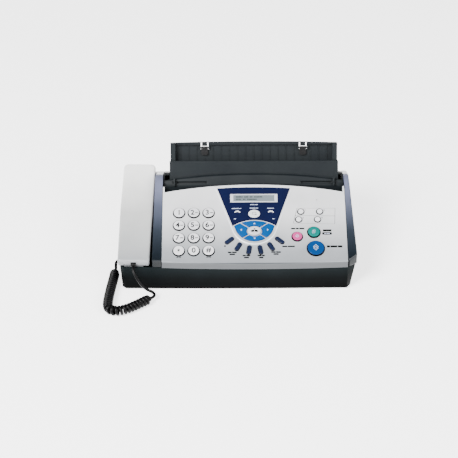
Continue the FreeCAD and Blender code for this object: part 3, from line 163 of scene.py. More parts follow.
def plastic(name, colour, worn, roughness, grain_mm=0.5, bump=0.1, coat=0.0,
            specular=0.5, bands=None):
    """Moulded ABS: one colour with faint clouding from the pigment, a fine
    spark-eroded grain whose pits are grain_mm apart, and a broken sheen where
    hands have polished it. Bands tint it along an axis."""
    made, tree, bsdf = start_material(name, IOR=1.5, Coat_Weight=coat,
                                      Coat_Roughness=0.08,
                                      Specular_IOR_Level=specular)
    where = add(tree, "TexCoord").outputs["Object"]
    cloud = add(tree, "TexNoise", None, Vector=where, Scale=28.0, Detail=3.0)
    shade = add(tree, "ValToRGB",
                {"stops": [(0.35, paint(colour)), (0.7, paint(worn))]},
                Fac=cloud.outputs[0]).outputs[0]
    if bands:
        shade = banded(tree, where, shade, *bands)
    tree.links.new(shade, bsdf.inputs["Base Color"])
    grain = add(tree, "TexNoise", None, Vector=where,
                Scale=1.0 / (grain_mm * MM), Detail=2.0)
    handled = add(tree, "TexNoise", None, Vector=where, Scale=9.0, Detail=5.0)
    sheen = add(tree, "MapRange", None, Value=handled.outputs[0],
                From_Min=0.3, From_Max=0.75,
                To_Min=roughness * 1.15, To_Max=roughness * 0.82)
    tree.links.new(sheen.outputs[0], bsdf.inputs["Roughness"])
    pits = add(tree, "Bump", None, Strength=bump, Distance=0.0001,
               Height=grain.outputs[0])
    tree.links.new(pits.outputs[0], bsdf.inputs["Normal"])
    return made


def dark_sided(rise_mm, tint="1A1B1E"):
    """Bands of painted shade that darken a key below the rim of its top face."""
    level = PANEL_LEVEL + rise_mm
    return OUTWARD, [(level - 0.6, tint), (level - 0.25, "FFFFFF")]


# Colours of the mouldings. The bands stand for how the light falls off
# towards the front, and for the shade under the panel's lip.

# Light grey ABS, finely grained: a soft, even shine. Its bands are painted
# shade, darker lower down towards the handset's front end.
HANDSET = plastic("warm_grey_abs", "F2F2F0", "E8E8E6", roughness=0.36,
                  bump=0.2, coat=0.1,
                  bands=(UPWARD, [(48, "8F9196"), (62, "A4A6A8"),
                                  (84, "BFC0C0"), (113, "FFFFFF")]))
# ABS sprayed with silver paint: a broad, satin highlight. Its bands are
# painted shade: darker lower down, and darkest on the lip under the panel's face.
SILVER = plastic("silver_painted_abs", "CCCCCE", "C2C3C5", roughness=0.42,
                 grain_mm=0.45, bump=0.2,
                 bands=(UPWARD, [(46, "4C4F52"), (49.3, "565A5D"),
                                 (49.9, "9DA1A4"), (58, "A6AAAD"),
                                 (88, "FAFAFA"), (104, "FFFFFF")]))
# The same paint under a clear coat, made brighter as a painted highlight on
# the lit slope round the raised shield.
SHIELD_HIGHLIGHT = plastic("bright_silver_trim", "D6D8DC", "CED0D4", roughness=0.3,
               grain_mm=0.45, coat=0.2)
# White keys, glossy on top, with painted shade down their sides.
WHITE_KEY = plastic("white_key_abs", "CFCFD2", "C6C6CA", roughness=0.35,
                    coat=0.1, bands=dark_sided(2.5))
SMALL_KEY = plastic("small_white_key_abs", "D4D4D7", "CBCBCF", roughness=0.35,
                    coat=0.1, bands=dark_sided(1.6))
# Metallic paint on a moulded key: greyer, with a tighter highlight.
SILVER_KEY = plastic("silver_key_abs", "B8BABE", "ABAEB3", roughness=0.32,
                     grain_mm=0.4, bump=0.15, coat=0.2)
# Blue-grey pearl ABS, glossy. Its bands are painted light and shade: bright
# high up, deep lower down.
SLATE = plastic("slate_side_cover_abs", "606478", "585C70", roughness=0.24,
                grain_mm=0.6, coat=0.04, specular=0.22,
                bands=(UPWARD, [(46, "28322F"), (56, "3C4846"),
                                (74, "6C7672"), (92, "BCC0BE"),
                                (106, "FFFFFF")]))
# Dark ABS of the cover and tray, matt and slightly blue.
CHARCOAL = plastic("charcoal_rear_abs", "15191B", "111518", roughness=0.4,
                   grain_mm=0.55, bump=0.2, specular=0.14)
# Coarsely grained dark ABS: nearly no highlight, with painted shade that
# darkens it towards the table.
BASE_DARK = plastic("base_grained_abs", "0F1416", "0C1112", roughness=0.5,
                    grain_mm=0.7, bump=0.3, specular=0.03,
                    bands=(UPWARD, [(2, "202020"), (20, "909090"),
                                    (37, "FFFFFF")]))
# Acetal of the small working parts: black and waxy.
BLACK = plastic("black_moulded_pom", "050506", "09090A", roughness=0.42,
                bump=0.2, specular=0.2)
# Clear polycarbonate printed navy from behind: smooth and glossy.
NAVY_WINDOW = plastic("navy_polycarbonate", "0A102E", "090E29",
                      roughness=0.14, grain_mm=0.8, bump=0.02, coat=0.1,
                      specular=0.3)
# Coloured keys, pigmented all through, with little shine. The navy, start, stop
# and copy keys have painted shade down their sides.
NAVY_KEY = plastic("navy_key_abs", "131B34", "10172C", roughness=0.3,
                   specular=0.25, bands=dark_sided(1.8, "202024"))
BLUE_KEY = plastic("blue_key_abs", "034078", "033A6C", roughness=0.3,
                   specular=0.15)
START_BLUE = plastic("start_key_abs", "033468", "032E5C", roughness=0.28,
                     specular=0.15, bands=dark_sided(3.2))
PINK = plastic("pink_key_abs", "AC3E78", "A4386F", roughness=0.32,
               specular=0.15, bands=dark_sided(2.5))
GREEN = plastic("green_key_abs", "036660", "035A55", roughness=0.32,
                specular=0.15, bands=dark_sided(2.8))
# Moulded rubber: rough, without any shine.
RUBBER = plastic("black_natural_rubber", "0F0F0F", "161616", roughness=0.8,
                 grain_mm=0.4, bump=0.6)
# Extruded soft vinyl: black with thin highlights along the turns.
CORD_VINYL = plastic("black_cord_vinyl", "030304", "050506", roughness=0.34,
                     grain_mm=0.3, bump=0.2, specular=0.12)
# Solder-masked glass epoxy, green; its sockets at the back are dark.
BOARD = plastic("green_epoxy_board", "14592F", "0F4A26", roughness=0.4,
                grain_mm=1.2, bump=0.4, specular=0.2,
                bands=(BACKWARD, [(84, "FFFFFF"), (86, "2A1A2A")]))
# Screen-printed inks, thin and matt.
INK = plastic("black_printing_ink", "050607", "030405", roughness=0.55,
              grain_mm=0.2, specular=0.05)
WHITE_INK = plastic("white_printing_ink", "A9B4C8", "A0ABC0", roughness=0.5,
                    grain_mm=0.2)
LIQUID = plastic("liquid_crystal_dots", "2E3833", "29322E", roughness=0.3,
                 bump=0.05)
# Painted shadow in the gap round each key: nearly black.
KEY_HOLE_SHADOW = plastic("black_key_collar", "08090A", "060708", roughness=0.5,
                 grain_mm=0.3, specular=0.05)
# Ink film wound tight on its spools: smooth, glossy black.
FILM = plastic("black_ribbon_film", "101012", "18181B", roughness=0.22,
               grain_mm=2.0)


def metal(name, colour, roughness):
    """Plated or rolled sheet: fine parallel marks along its length."""
    made, tree, bsdf = start_material(
        name, Metallic=1.0, Base_Color=paint(colour), Roughness=roughness)
    where = add(tree, "TexCoord").outputs["Object"]
    along = add(tree, "Mapping", None, Vector=where)
    along.inputs["Scale"].default_value = (40.0, 1800.0, 1800.0)
    marks = add(tree, "TexNoise", None, Vector=along.outputs[0], Detail=3.0)
    lines = add(tree, "Bump", None, Strength=0.2, Distance=0.00005,
                Height=marks.outputs[0])
    tree.links.new(lines.outputs[0], bsdf.inputs["Normal"])
    return made


STEEL = metal("zinc_plated_steel", "B9BABD", 0.35)
ALUMINIUM = metal("extruded_aluminium", "C6C8CA", 0.4)


def display_glass():
    """Grey-green liquid crystal glass, smooth, with faint clouding."""
    made, tree, bsdf = start_material(
        "liquid_crystal_glass", Roughness=0.12, IOR=1.5)
    where = add(tree, "TexCoord").outputs["Object"]
    cloud = add(tree, "TexNoise", None, Vector=where, Scale=40.0, Detail=2.0)
    tone = add(tree, "ValToRGB",
               {"stops": [(0.3, paint("60686C")), (0.7, paint("6A7276"))]},
               Fac=cloud.outputs[0])
    tree.links.new(tone.outputs[0], bsdf.inputs["Base Color"])
    return made


GLASS = display_glass()


# --------------------------------------------------- the model's CAD nodes

def node_object(name):
    """The mesh object of a CAD node."""
    found = [o for o in bpy.data.objects if o.type == "MESH" and
             (o.name == name or o.name.split(".")[0] == name)]
    return found[0]


BEVEL_ANGLE = math.radians(38)
CREASE_ANGLE = math.radians(32)
ROUNDED_CREASE_ANGLE = math.radians(50)


def finish_node(name, material, bevel_mm):
    """Gives a CAD node its material, joins its loose triangles, and rounds
    its sharp edges as moulded parts are."""
    thing = node_object(name)
    mesh = thing.data
    mesh.materials.clear()
    mesh.materials.append(material)
    mesh.polygons.foreach_set("use_smooth", [True] * len(mesh.polygons))
    weld = thing.modifiers.new("weld", "WELD")
    weld.merge_threshold = 0.00002
    if bevel_mm:
        flat = thing.modifiers.new("flat", "DECIMATE")
        flat.decimate_type = "DISSOLVE"
        flat.angle_limit = math.radians(1.0)
        edge = thing.modifiers.new("edge", "BEVEL")
        edge.width = bevel_mm * MM
        edge.segments = 2
        edge.limit_method = "ANGLE"
        edge.angle_limit = BEVEL_ANGLE
        edge.use_clamp_overlap = False
    crease = thing.modifiers.new("crease", "EDGE_SPLIT")
    crease.split_angle = ROUNDED_CREASE_ANGLE if bevel_mm else CREASE_ANGLE
    shade = thing.modifiers.new("shade", "WEIGHTED_NORMAL")
    shade.keep_sharp = True


# Each node's material, and the width of its rounded edges in millimetres.
NODE_FINISH = {
    "base_housing": (BASE_DARK, 0.6), "rubber_feet": (RUBBER, 0.0),
    "housing_screws": (STEEL, 0.0), "right_side_cover": (SLATE, 2.2),
    "handset_cradle": (SLATE, 0.8), "rear_top_cover": (CHARCOAL, 0.8),
    "paper_tray": (CHARCOAL, 0.0), "tray_front_cover": (CHARCOAL, 0.5),
    "document_guide_left": (CHARCOAL, 0.3), "document_guide_right": (CHARCOAL, 0.3),
    "paper_support_arm_left": (BLACK, 0.3), "paper_support_arm_right": (BLACK, 0.3),
    "control_panel": (SILVER, 0.45), "display_window": (NAVY_WINDOW, 0.0),
    "lcd_module": (SILVER_KEY, 0.0), "scanner_unit": (BLACK, 0.3),
    "platen_roller": (RUBBER, 0.0), "ribbon_supply_spool": (FILM, 0.0),
    "ribbon_takeup_spool": (FILM, 0.0), "print_head": (ALUMINIUM, 0.2),
    "drive_motor": (STEEL, 0.0), "main_board": (BOARD, 0.0),
    "handset_back_shell": (HANDSET, 0.0), "handset_front_shell": (HANDSET, 0.5),
    "hook_switch": (BLACK, 0.0), "handset_plug": (BLACK, 0.4),
    "base_plug": (BLACK, 0.4), "stop_key": (PINK, 0.0), "copy_key": (GREEN, 0.0),
    "start_key": (START_BLUE, 0.0), "menu_key": (SILVER_KEY, 0.0),
    "mode_key": (WHITE_KEY, 0.0),
}
for digit in ("star", "0", "hash", "1", "2", "3", "4", "5", "6", "7", "8", "9"):
    NODE_FINISH["key_" + digit] = (WHITE_KEY, 0.0)
for number in range(1, 7):
    NODE_FINISH[f"function_key_{number}"] = (NAVY_KEY, 0.0)
for number in range(1, 5):
    NODE_FINISH[f"one_touch_key_{number}"] = (SMALL_KEY, 0.0)
for side in ("up", "down", "left", "right"):
    NODE_FINISH["arrow_key_" + side] = (BLUE_KEY, 0.5)

for name, (material, bevel) in NODE_FINISH.items():
    finish_node(name, material, bevel)


# ------------------------------------------------------ making new pieces

def mesh_of(curve):
    """The points and faces that a curve or text draws; it is then deleted."""
    holder = bpy.data.objects.new(curve.name, curve)
    mesh = bpy.data.meshes.new_from_object(holder)
    points = np.empty(len(mesh.vertices) * 3, np.float32)
    mesh.vertices.foreach_get("co", points)
    faces = [list(p.vertices) for p in mesh.polygons]
    bpy.data.objects.remove(holder)
    bpy.data.curves.remove(curve)
    bpy.data.meshes.remove(mesh)
    return points.reshape(-1, 3).astype(float), faces


def new_piece(name, points, faces, material):
    """A mesh object from points in metres and faces."""
    mesh = bpy.data.meshes.new(name)
    mesh.from_pydata(points.tolist(), [], faces)
    mesh.materials.append(material)
    mesh.update()
    made = bpy.data.objects.new(name, mesh)
    bpy.context.collection.objects.link(made)
    return made


# --------------------------------------------------------------- the cord

# The cord's diameter, and the radius of the middle of its turns. Routes are
# in millimetres: the tail from the handset's plug, the coil, and the lead to
# the plug in the base.
CORD = 4.5 * MM
WIND = 5.35 * MM
FRONT_PITCH = 5.5 * MM
SIDE_PITCH = 4.9 * MM
FRONT_STRETCH = 62 * MM
PITCH_CHANGE = 22 * MM
WIND_GROWTH = 6 * MM
POINTS_PER_TURN = 26
SMOOTHING = 25

TAIL_ROUTE = [
    (-151.26, -101.86, 42.83), (-151.44, -107.94, 40.52),
    (-147.6, -113.6, 33.6), (-140.4, -118.2, 22.4), (-131.6, -119.2, 13.4),
    (-125.0, -118.3, 9.4), (-121.4, -120.8, 8.2), (-119.9, -124.9, 7.7),
    (-121.0, -129.2, 7.6), (-125.6, -133.2, 7.6),
]
COIL_ROUTE = [
    (-125.6, -133.2, 7.6), (-136.5, -142.6, 7.6), (-148.2, -152.6, 7.6),
    (-161.0, -161.6, 7.6), (-174.5, -166.0, 7.6), (-185.5, -160.0, 7.6),
    (-187.6, -146.0, 7.6), (-186.2, -124.0, 7.6), (-184.4, -102.0, 7.6),
    (-182.2, -80.0, 7.6), (-180.6, -62.0, 7.8),
]
LEAD_ROUTE = [
    (-180.6, -62.0, 7.8), (-179.9, -54.0, 7.9), (-180.7, -49.4, 9.4),
    (-180.3, -44.9, 12.6), (-177.3, -42.0, 14.0), (-173.5, -42.0, 14.0),
]


def smooth_line(route, name):
    """The points of a smooth curve that follows a route of points."""
    curve = bpy.data.curves.new(name, "CURVE")
    curve.dimensions = "3D"
    curve.resolution_u = 24
    spline = curve.splines.new("NURBS")
    spline.points.add(len(route) - 1)
    for point, place in zip(spline.points, route):
        point.co = (place[0] * MM, place[1] * MM, place[2] * MM, 1.0)
    spline.order_u = 3
    spline.use_endpoint_u = True
    return mesh_of(curve)[0]


def along(points):
    """The distance of each point from the first, along the line."""
    steps = np.linalg.norm(np.diff(points, axis=0), axis=1)
    return np.concatenate([[0.0], np.cumsum(steps)])


def resample(points, places):
    """Points at given distances along a line."""
    reach = along(points)
    return np.stack([np.interp(places, reach, points[:, i])
                     for i in range(3)], axis=1)


def smoothstep(value):
    """A smooth rise from 0 to 1 as a value goes from 0 to 1."""
    value = np.clip(value, 0.0, 1.0)
    return value * value * (3 - 2 * value)


def carried_frame(points):
    """Tangents, and two directions square to them that turn as little as
    they can from each point to the next."""
    tangent = np.gradient(points, axis=0)
    tangent /= np.linalg.norm(tangent, axis=1)[:, None]
    side = np.zeros_like(points)
    side[0] = np.cross(tangent[0], [0.0, 0.0, 1.0])
    side[0] /= np.linalg.norm(side[0])
    for i in range(1, len(points)):
        carried = side[i - 1] - tangent[i] * (side[i - 1] @ tangent[i])
        side[i] = carried / np.linalg.norm(carried)
    return tangent, side, np.cross(tangent, side)


def wound(axis):
    """A helix about an axis: the distance between turns is FRONT_PITCH on the
    open stretch in front and SIDE_PITCH on the close one at the side, and the
    winding's radius grows from nothing over the first and last turns."""
    total = along(axis)[-1]
    places = np.linspace(0.0, total, 1400)
    centre = resample(axis, places)
    centre = np.apply_along_axis(
        lambda v: np.convolve(np.pad(v, SMOOTHING // 2, mode="edge"),
                              np.ones(SMOOTHING) / SMOOTHING, mode="valid"),
        0, centre)
    centre[0], centre[-1] = axis[0], axis[-1]
    pitch = FRONT_PITCH - (FRONT_PITCH - SIDE_PITCH) * smoothstep(
        (places - FRONT_STRETCH) / PITCH_CHANGE)
    turns = np.concatenate([[0.0], np.cumsum(np.diff(places) / pitch[1:])])
    fine = np.linspace(0.0, total, int(turns[-1] * POINTS_PER_TURN))
    centre = resample(centre, np.interp(fine, places, along(centre)))
    angle = 2 * math.pi * np.interp(fine, places, turns)
    radius = WIND * smoothstep(fine / WIND_GROWTH) * smoothstep(
        (total - fine) / WIND_GROWTH)
    _, side, lift = carried_frame(centre)
    return centre + radius[:, None] * (
        np.cos(angle)[:, None] * side + np.sin(angle)[:, None] * lift)


def tube(name, line, radius, material, sides=12):
    """A round tube along a line, capped at both ends: at angle a the point
    is line + radius * (side * cos a + lift * sin a)."""
    _, side, lift = carried_frame(line)
    angle = np.linspace(0, 2 * math.pi, sides, endpoint=False)
    ring = (np.cos(angle)[None, :, None] * side[:, None] +
            np.sin(angle)[None, :, None] * lift[:, None])
    grid = line[:, None] + radius * ring
    index = np.arange(len(line) * sides).reshape(len(line), sides)
    near, far = index[:-1], index[1:]
    faces = np.stack([near, np.roll(near, -1, 1), np.roll(far, -1, 1), far],
                     axis=-1).reshape(-1, 4).tolist()
    faces.append(index[0][::-1].tolist())
    faces.append(index[-1].tolist())
    made = new_piece(name, grid.reshape(-1, 3), faces, material)
    made.data.polygons.foreach_set("use_smooth", [True] * len(faces))
    return made


tail = smooth_line(TAIL_ROUTE, "tail")
lead = smooth_line(LEAD_ROUTE, "lead")
coil = wound(smooth_line(COIL_ROUTE, "coil_axis"))
cord_line = np.concatenate([tail, coil[1:], lead[1:]])
spacing = np.linalg.norm(np.diff(cord_line, axis=0), axis=1)
cord_line = cord_line[np.concatenate([[True], spacing > 1e-5])]
cord = tube("handset_cord", cord_line, CORD / 2, CORD_VINYL)
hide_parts("cord_coil", "cord_straight_ends")
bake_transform(cord)


# ------------------------------------------------- places on the key panel

PANEL_ORIGIN = np.array([PANEL_MIDDLE, -LIP_DEPTH, LIP_HEIGHT]) * MM
UP_SLOPE = np.array([0.0, math.cos(SLOPE), math.sin(SLOPE)])


def on_panel(points):
    """Points given in millimetres across, up and out from the panel."""
    points = np.asarray(points, float) * MM
    return (PANEL_ORIGIN + points[..., :1] * np.array([1.0, 0.0, 0.0]) +
            points[..., 1:2] * UP_SLOPE + points[..., 2:3] * np.array(OUTWARD))


def circle(radius, count=40):
    """Points round a circle."""
    angle = np.linspace(0, 2 * math.pi, count, endpoint=False)
    return np.stack([np.cos(angle), np.sin(angle)], axis=1) * radius


def bar(width, height, corner=0.0, steps=6):
    """A rectangle about the origin whose corners are quarter circles."""
    if corner <= 0:
        x, y = width / 2, height / 2
        return np.array([(-x, -y), (x, -y), (x, y), (-x, y)])
    angle = np.linspace(0, math.pi / 2, steps)
    quarter = np.stack([np.cos(angle), np.sin(angle)], axis=1) * corner
    turns = []
    for k, (sx, sy) in enumerate(((1, 1), (-1, 1), (-1, -1), (1, -1))):
        c, s = math.cos(k * math.pi / 2), math.sin(k * math.pi / 2)
        spun = quarter @ np.array([[c, s], [-s, c]])
        turns.append(spun + np.array([sx * (width / 2 - corner),
                                      sy * (height / 2 - corner)]))
    return np.concatenate(turns)


def turned_by(shape, degrees):
    """A flat outline turned about the origin."""
    c, s = math.cos(math.radians(degrees)), math.sin(math.radians(degrees))
    return np.asarray(shape) @ np.array([[c, s], [-s, c]])


def slab(shape, low, high):
    """Vertices and faces of a flat outline raised from low to high."""
    shape = np.asarray(shape, float)
    count = len(shape)
    bottom = np.column_stack([shape, np.full(count, low)])
    top = np.column_stack([shape, np.full(count, high)])
    here = np.arange(count)
    after = np.roll(here, -1)
    sides = np.column_stack([here, after, after + count, here + count]).tolist()
    faces = [list(range(count))[::-1], list(range(count, 2 * count))] + sides
    return np.concatenate([bottom, top]), faces


def frame_slab(outer, inner, low, high):
    """A flat ring between two outlines that have as many points each."""
    outer, inner = np.asarray(outer, float), np.asarray(inner, float)
    count = len(outer)
    rings = [np.column_stack([outline, np.full(count, level)])
             for outline, level in ((outer, low), (outer, high),
                                    (inner, high), (inner, low))]
    here = np.arange(count)
    after = np.roll(here, -1)
    faces = []
    for ring in range(4):
        near, far = ring * count, (ring + 1) % 4 * count
        faces += np.column_stack([near + here, near + after,
                                  far + after, far + here]).tolist()
    return np.concatenate(rings), faces


def merged(parts):
    """Several sets of vertices and faces as one."""
    vertices, faces, start = [], [], 0
    for points, polygons in parts:
        vertices.append(points)
        faces += [[i + start for i in polygon] for polygon in polygons]
        start += len(points)
    return np.concatenate(vertices), faces


def moved(part, across, up, out=0.0):
    """A part shifted across, up and out on the panel."""
    points, faces = part
    return points + np.array([across, up, out]), faces


def solid(name, part, material, body):
    """A mesh piece on the panel from vertices in millimetres across, up and
    out, riding on a body."""
    points, faces = part
    made = new_piece(name, on_panel(points), faces, material)
    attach(made, body)
    return made


# Printed marks start just under the surface and rise a little above it.
INK_SINK = -0.02
INK_RISE = 0.05


# The font's size for a digit one millimetre high, and how much its strokes
# are thickened, as a share of its height.
FONT_SIZE_PER_HEIGHT = 1.38
STROKE_WEIGHT = 0.03


def glyph(text, height):
    """Vertices and faces of a character, centred, as raised ink."""
    curve = bpy.data.curves.new("glyph", "FONT")
    curve.body = text
    curve.size = height * FONT_SIZE_PER_HEIGHT
    curve.extrude = INK_RISE
    curve.offset = height * STROKE_WEIGHT
    points, faces = mesh_of(curve)
    middle = (points.min(0) + points.max(0)) / 2
    points[:, :2] -= middle[:2]
    return points, faces


def words(widths, height, level, gap=0.7):
    """A line of short bars that stands for a printed label."""
    parts, x = [], -(sum(widths) + gap * (len(widths) - 1)) / 2
    for width in widths:
        part = slab(bar(width, height), level + INK_SINK, level + INK_RISE)
        parts.append(moved(part, x + width / 2, 0))
        x += width + gap
    return merged(parts)


# ----------------------------------------------------- digits on the keys

# The number pad's keys run from the lower row up. Places on the panel are
# given across and up, in millimetres.
KEY_PITCH = 21.9
PAD_MIDDLE = -89.4
PAD_FOOT = 22.4
KEY_TOP = 2.5
DIGITS = [("star", "*"), ("0", "0"), ("hash", "#"), ("7", "7"), ("8", "8"),
          ("9", "9"), ("4", "4"), ("5", "5"), ("6", "6"), ("1", "1"),
          ("2", "2"), ("3", "3")]
PAD_PLACES = [(PAD_MIDDLE + (i % 3 - 1) * KEY_PITCH,
               PAD_FOOT + (i // 3) * KEY_PITCH) for i in range(len(DIGITS))]

for (name, character), (u, v) in zip(DIGITS, PAD_PLACES):
    height = 6.6 if character == "*" else 8.4
    lettered = name not in ("star", "hash", "0", "1")
    parts = [moved(glyph(character, height), u - (2.0 if lettered else 0), v,
                   KEY_TOP)]
    if lettered:
        parts.append(moved(words([1.2, 1.2, 1.2], 1.7, KEY_TOP, 0.35),
                           u + 4.1, v - 0.6))
    solid(f"digit_{name}", merged(parts), INK, f"key_{name}_body")

# --------------------------------- painted shadow round the holes of the keys

MEMORY_KEYS = [(69.5, 89.8), (97.6, 89.8), (66.0, 76.0), (93.9, 76.0)]
STOP_KEY = (62.9, 46.1)
COPY_KEY = (87.7, 53.6)
START_KEY = (89.5, 25.6)
ROUND_KEYS = ([(place, 7.9) for place in PAD_PLACES] +
              [(place, 4.1) for place in MEMORY_KEYS] +
              [(STOP_KEY, 7.2), (COPY_KEY, 8.8), (START_KEY, 12.1)])

# The six oval keys stand in a fan, each turned to point at its centre.
FAN_CENTRE = 72.5
FAN_RADIUS = 49.3
FAN_STEP = 19.4
OVAL_WIDTH = 6.3
OVAL_LENGTH = 15.9

# Each key hole gets a dark ring on the panel: painted shadow.
HOLE_SHADOW_RISE = 0.12
hole_shadows = [moved(frame_slab(circle(radius + 1.5), circle(radius + 0.25),
                            INK_SINK, HOLE_SHADOW_RISE), u, v)
           for (u, v), radius in ROUND_KEYS]
for number in range(6):
    turn = (number - 2.5) * FAN_STEP
    hole = turned_by(bar(OVAL_WIDTH, OVAL_LENGTH, 3.1), turn)
    rim = turned_by(bar(OVAL_WIDTH + 1.2, OVAL_LENGTH + 1.2, 3.7), turn)
    hole_shadows.append(moved(frame_slab(rim, hole, INK_SINK, HOLE_SHADOW_RISE),
                         FAN_RADIUS * math.sin(math.radians(turn)),
                         FAN_CENTRE - FAN_RADIUS * math.cos(math.radians(turn))))
solid("key_collars", merged(hole_shadows), KEY_HOLE_SHADOW, "panel")

# --------------------------- painted highlight down the sides of the raised shield


SHIELD_RADIUS = 31.0
SHIELD_CENTRE = 66.6
SHIELD_LEAN = 0.338
SHIELD_TOP = 129.0


def shield_line(grow, level):
    """The shield's two sides and round bottom, `grow` outside the shield: an
    arc of radius SHIELD_RADIUS + grow about SHIELD_CENTRE, and its tangents,
    which lean outwards by SHIELD_LEAN, up to SHIELD_TOP."""
    radius = SHIELD_RADIUS + grow
    lean = math.atan(SHIELD_LEAN)
    angle = np.linspace(math.pi + lean, 2 * math.pi - lean, 40)
    bottom = np.stack([radius * np.cos(angle),
                       SHIELD_CENTRE + radius * np.sin(angle)], axis=1)
    rise = SHIELD_TOP - bottom[-1, 1]
    sides = np.array([(-SHIELD_LEAN, 1.0), (SHIELD_LEAN, 1.0)])
    ends = bottom[[0, -1]] + sides * rise
    line = np.concatenate([ends[:1], bottom, ends[1:]])
    return np.column_stack([line, np.full(len(line), level)])


# A strip on the shield's sloping edge in bright silver: a painted highlight.
highlight_edges = np.concatenate([shield_line(1.9, 1.82), shield_line(3.3, 1.24)])
highlight_count = len(highlight_edges) // 2
near = np.arange(highlight_count - 1)
highlight_faces = np.column_stack([near + highlight_count, near + 1 + highlight_count,
                              near + 1, near]).tolist()
solid("shield_trim", (highlight_edges, highlight_faces), SHIELD_HIGHLIGHT, "panel")

# -------------------------------------- printed labels, as plain bars

# Each label: its bars' widths, their height, and its place on the panel.
PANEL_LABELS = [
    ([3.2, 2.8], 1.6, -111.3, 12.0), ([3.6, 3.0], 1.6, -67.5, 12.0),
    ([2.6], 2.4, -43.6, 30.6),
    ([5.4, 6.8], 2.3, -33.0, 19.8), ([8.2], 2.3, -33.0, 16.4),
    ([4.8, 5.8], 2.3, -12.3, 14.2), ([7.4], 2.3, -12.3, 10.8),
    ([5.8, 4.0], 2.3, 9.2, 14.2), ([6.2], 2.3, 9.2, 10.8),
    ([6.6, 6.8], 2.3, 31.0, 20.0), ([7.4], 2.3, 31.0, 16.6),
    ([7.2, 10.6], 2.3, 49.6, 29.6),
    ([6.4, 4.4, 7.6], 2.4, 64.0, 60.4),
    ([12.6], 3.4, 107.4, 57.0), ([4.6, 10.2, 6.6], 3.4, 117.2, 29.2),
]
flat_labels = [moved(words(widths, height, 0.0), u, v)
               for widths, height, u, v in PANEL_LABELS]
solid("panel_labels", merged(flat_labels), INK, "panel")
COPY_BAR = (107.0, 51.6)
COPY_BAR_RISE = 0.07
solid("copy_bar", moved(slab(bar(14.4, 4.2, 1.6), INK_SINK, COPY_BAR_RISE),
                        *COPY_BAR),
      BLACK, "panel")
solid("copy_bar_label", moved(words([3.2, 4.4], 1.1, COPY_BAR_RISE), *COPY_BAR),
      WHITE_INK, "panel")

# ----------------------------------------- outline round the memory keys

MEMORY_OUTLINE = np.array([(57.8, 69.6), (119.3, 68.0), (121.0, 96.0),
                           (63.8, 96.2)])
LINE_SHARE = 0.018
outline_middle = MEMORY_OUTLINE.mean(0)
inner = outline_middle + (MEMORY_OUTLINE - outline_middle) * (1 - LINE_SHARE)
middle_bar = np.array([(60.6, 82.9), (120.2, 82.0), (120.2, 82.4), (60.6, 83.3)])
marks = [frame_slab(MEMORY_OUTLINE, inner, INK_SINK, INK_RISE),
         slab(middle_bar, INK_SINK, INK_RISE)]
for number, (u, v) in enumerate(MEMORY_KEYS, start=1):
    marks.append(moved(glyph(str(number), 2.6), u + 6.6, v + 3.2))
solid("memory_key_marks", merged(marks), INK, "panel")

# ---------------------------------------------------- the display's glass

glass = slab(bar(61.0, 11.0), 0.0, 0.5)
solid("display_glass", moved(glass, 0, 113.0, 1.4), GLASS, "panel")
# Two rows of blocks stand for characters; each row's words, left to right,
# have these many characters.
CHARACTER_STEP = 2.1
ROW_START = -26.0
DISPLAY_ROWS = ((115.3, (5, 3, 2, 6)), (110.8, (4, 2, 7)))
blocks = []
for v, counts in DISPLAY_ROWS:
    x = ROW_START
    for count in counts:
        for _ in range(count):
            blocks.append(moved(slab(bar(1.5, 2.5), 1.88, 1.95), x, v))
            x += CHARACTER_STEP
        x += CHARACTER_STEP
solid("display_dots", merged(blocks), LIQUID, "panel")

# ------------------------------------------- marks on the navy window

WINDOW_TOP = 2.15
window_marks = [
    moved(words([6.0, 4.6], 1.2, WINDOW_TOP), 0, 101.4),
    moved(words([8.4, 3.6], 1.2, WINDOW_TOP), 0, 95.2),
    moved(words([9.4, 4.0], 1.2, WINDOW_TOP), -26.0, 94.6),
    moved(words([6.4, 2.4], 1.2, WINDOW_TOP), 24.6, 94.8),
    moved(words([3.0], 1.2, WINDOW_TOP), -28.5, 76.4),
    moved(words([3.0], 1.2, WINDOW_TOP), 28.5, 76.4),
]
solid("window_labels", merged(window_marks), WHITE_INK, "panel")


def half_moon(radius, thickness, steps=24):
    """The outline between two arcs: the inner is the outer one drawn in
    towards the middle of its ends, across and up by different shares."""
    angle = np.linspace(math.radians(20), math.radians(160), steps)
    outer = np.stack([np.cos(angle), np.sin(angle)], axis=1) * radius
    ends = outer[[0, -1]].mean(0)
    inner = (outer - ends) * np.array([0.72, 1 - thickness]) + ends
    return np.concatenate([outer, inner[::-1]])


# White crescents on the navy window: painted highlights standing for the lit top
# rims of two small navy buttons.
moon = slab(half_moon(4.7, 0.62), WINDOW_TOP - 0.3, WINDOW_TOP + 0.9)
for side, across in (("left", -24.8), ("right", 24.8)):
    solid(f"small_key_{side}", moved(moon, across, 85.6), WHITE_KEY, "panel")

# ------------------------------------------------------ signs on the keys

TRIANGLE = np.array([(-1.7, -1.0), (1.7, -1.0), (0.0, 1.3)])
ARROW_TOP = 3.2
for side, turn, u, v in (("up", 0, 0.0, 67.6), ("down", 180, 0.0, 41.9),
                         ("left", 90, -19.6, 56.6),
                         ("right", -90, 19.6, 56.6)):
    shape = turned_by(TRIANGLE, turn)
    solid(f"arrow_sign_{side}", moved(slab(shape, INK_SINK, INK_RISE), u, v,
                                      ARROW_TOP),
          WHITE_INK, f"arrow_key_{side}_body")

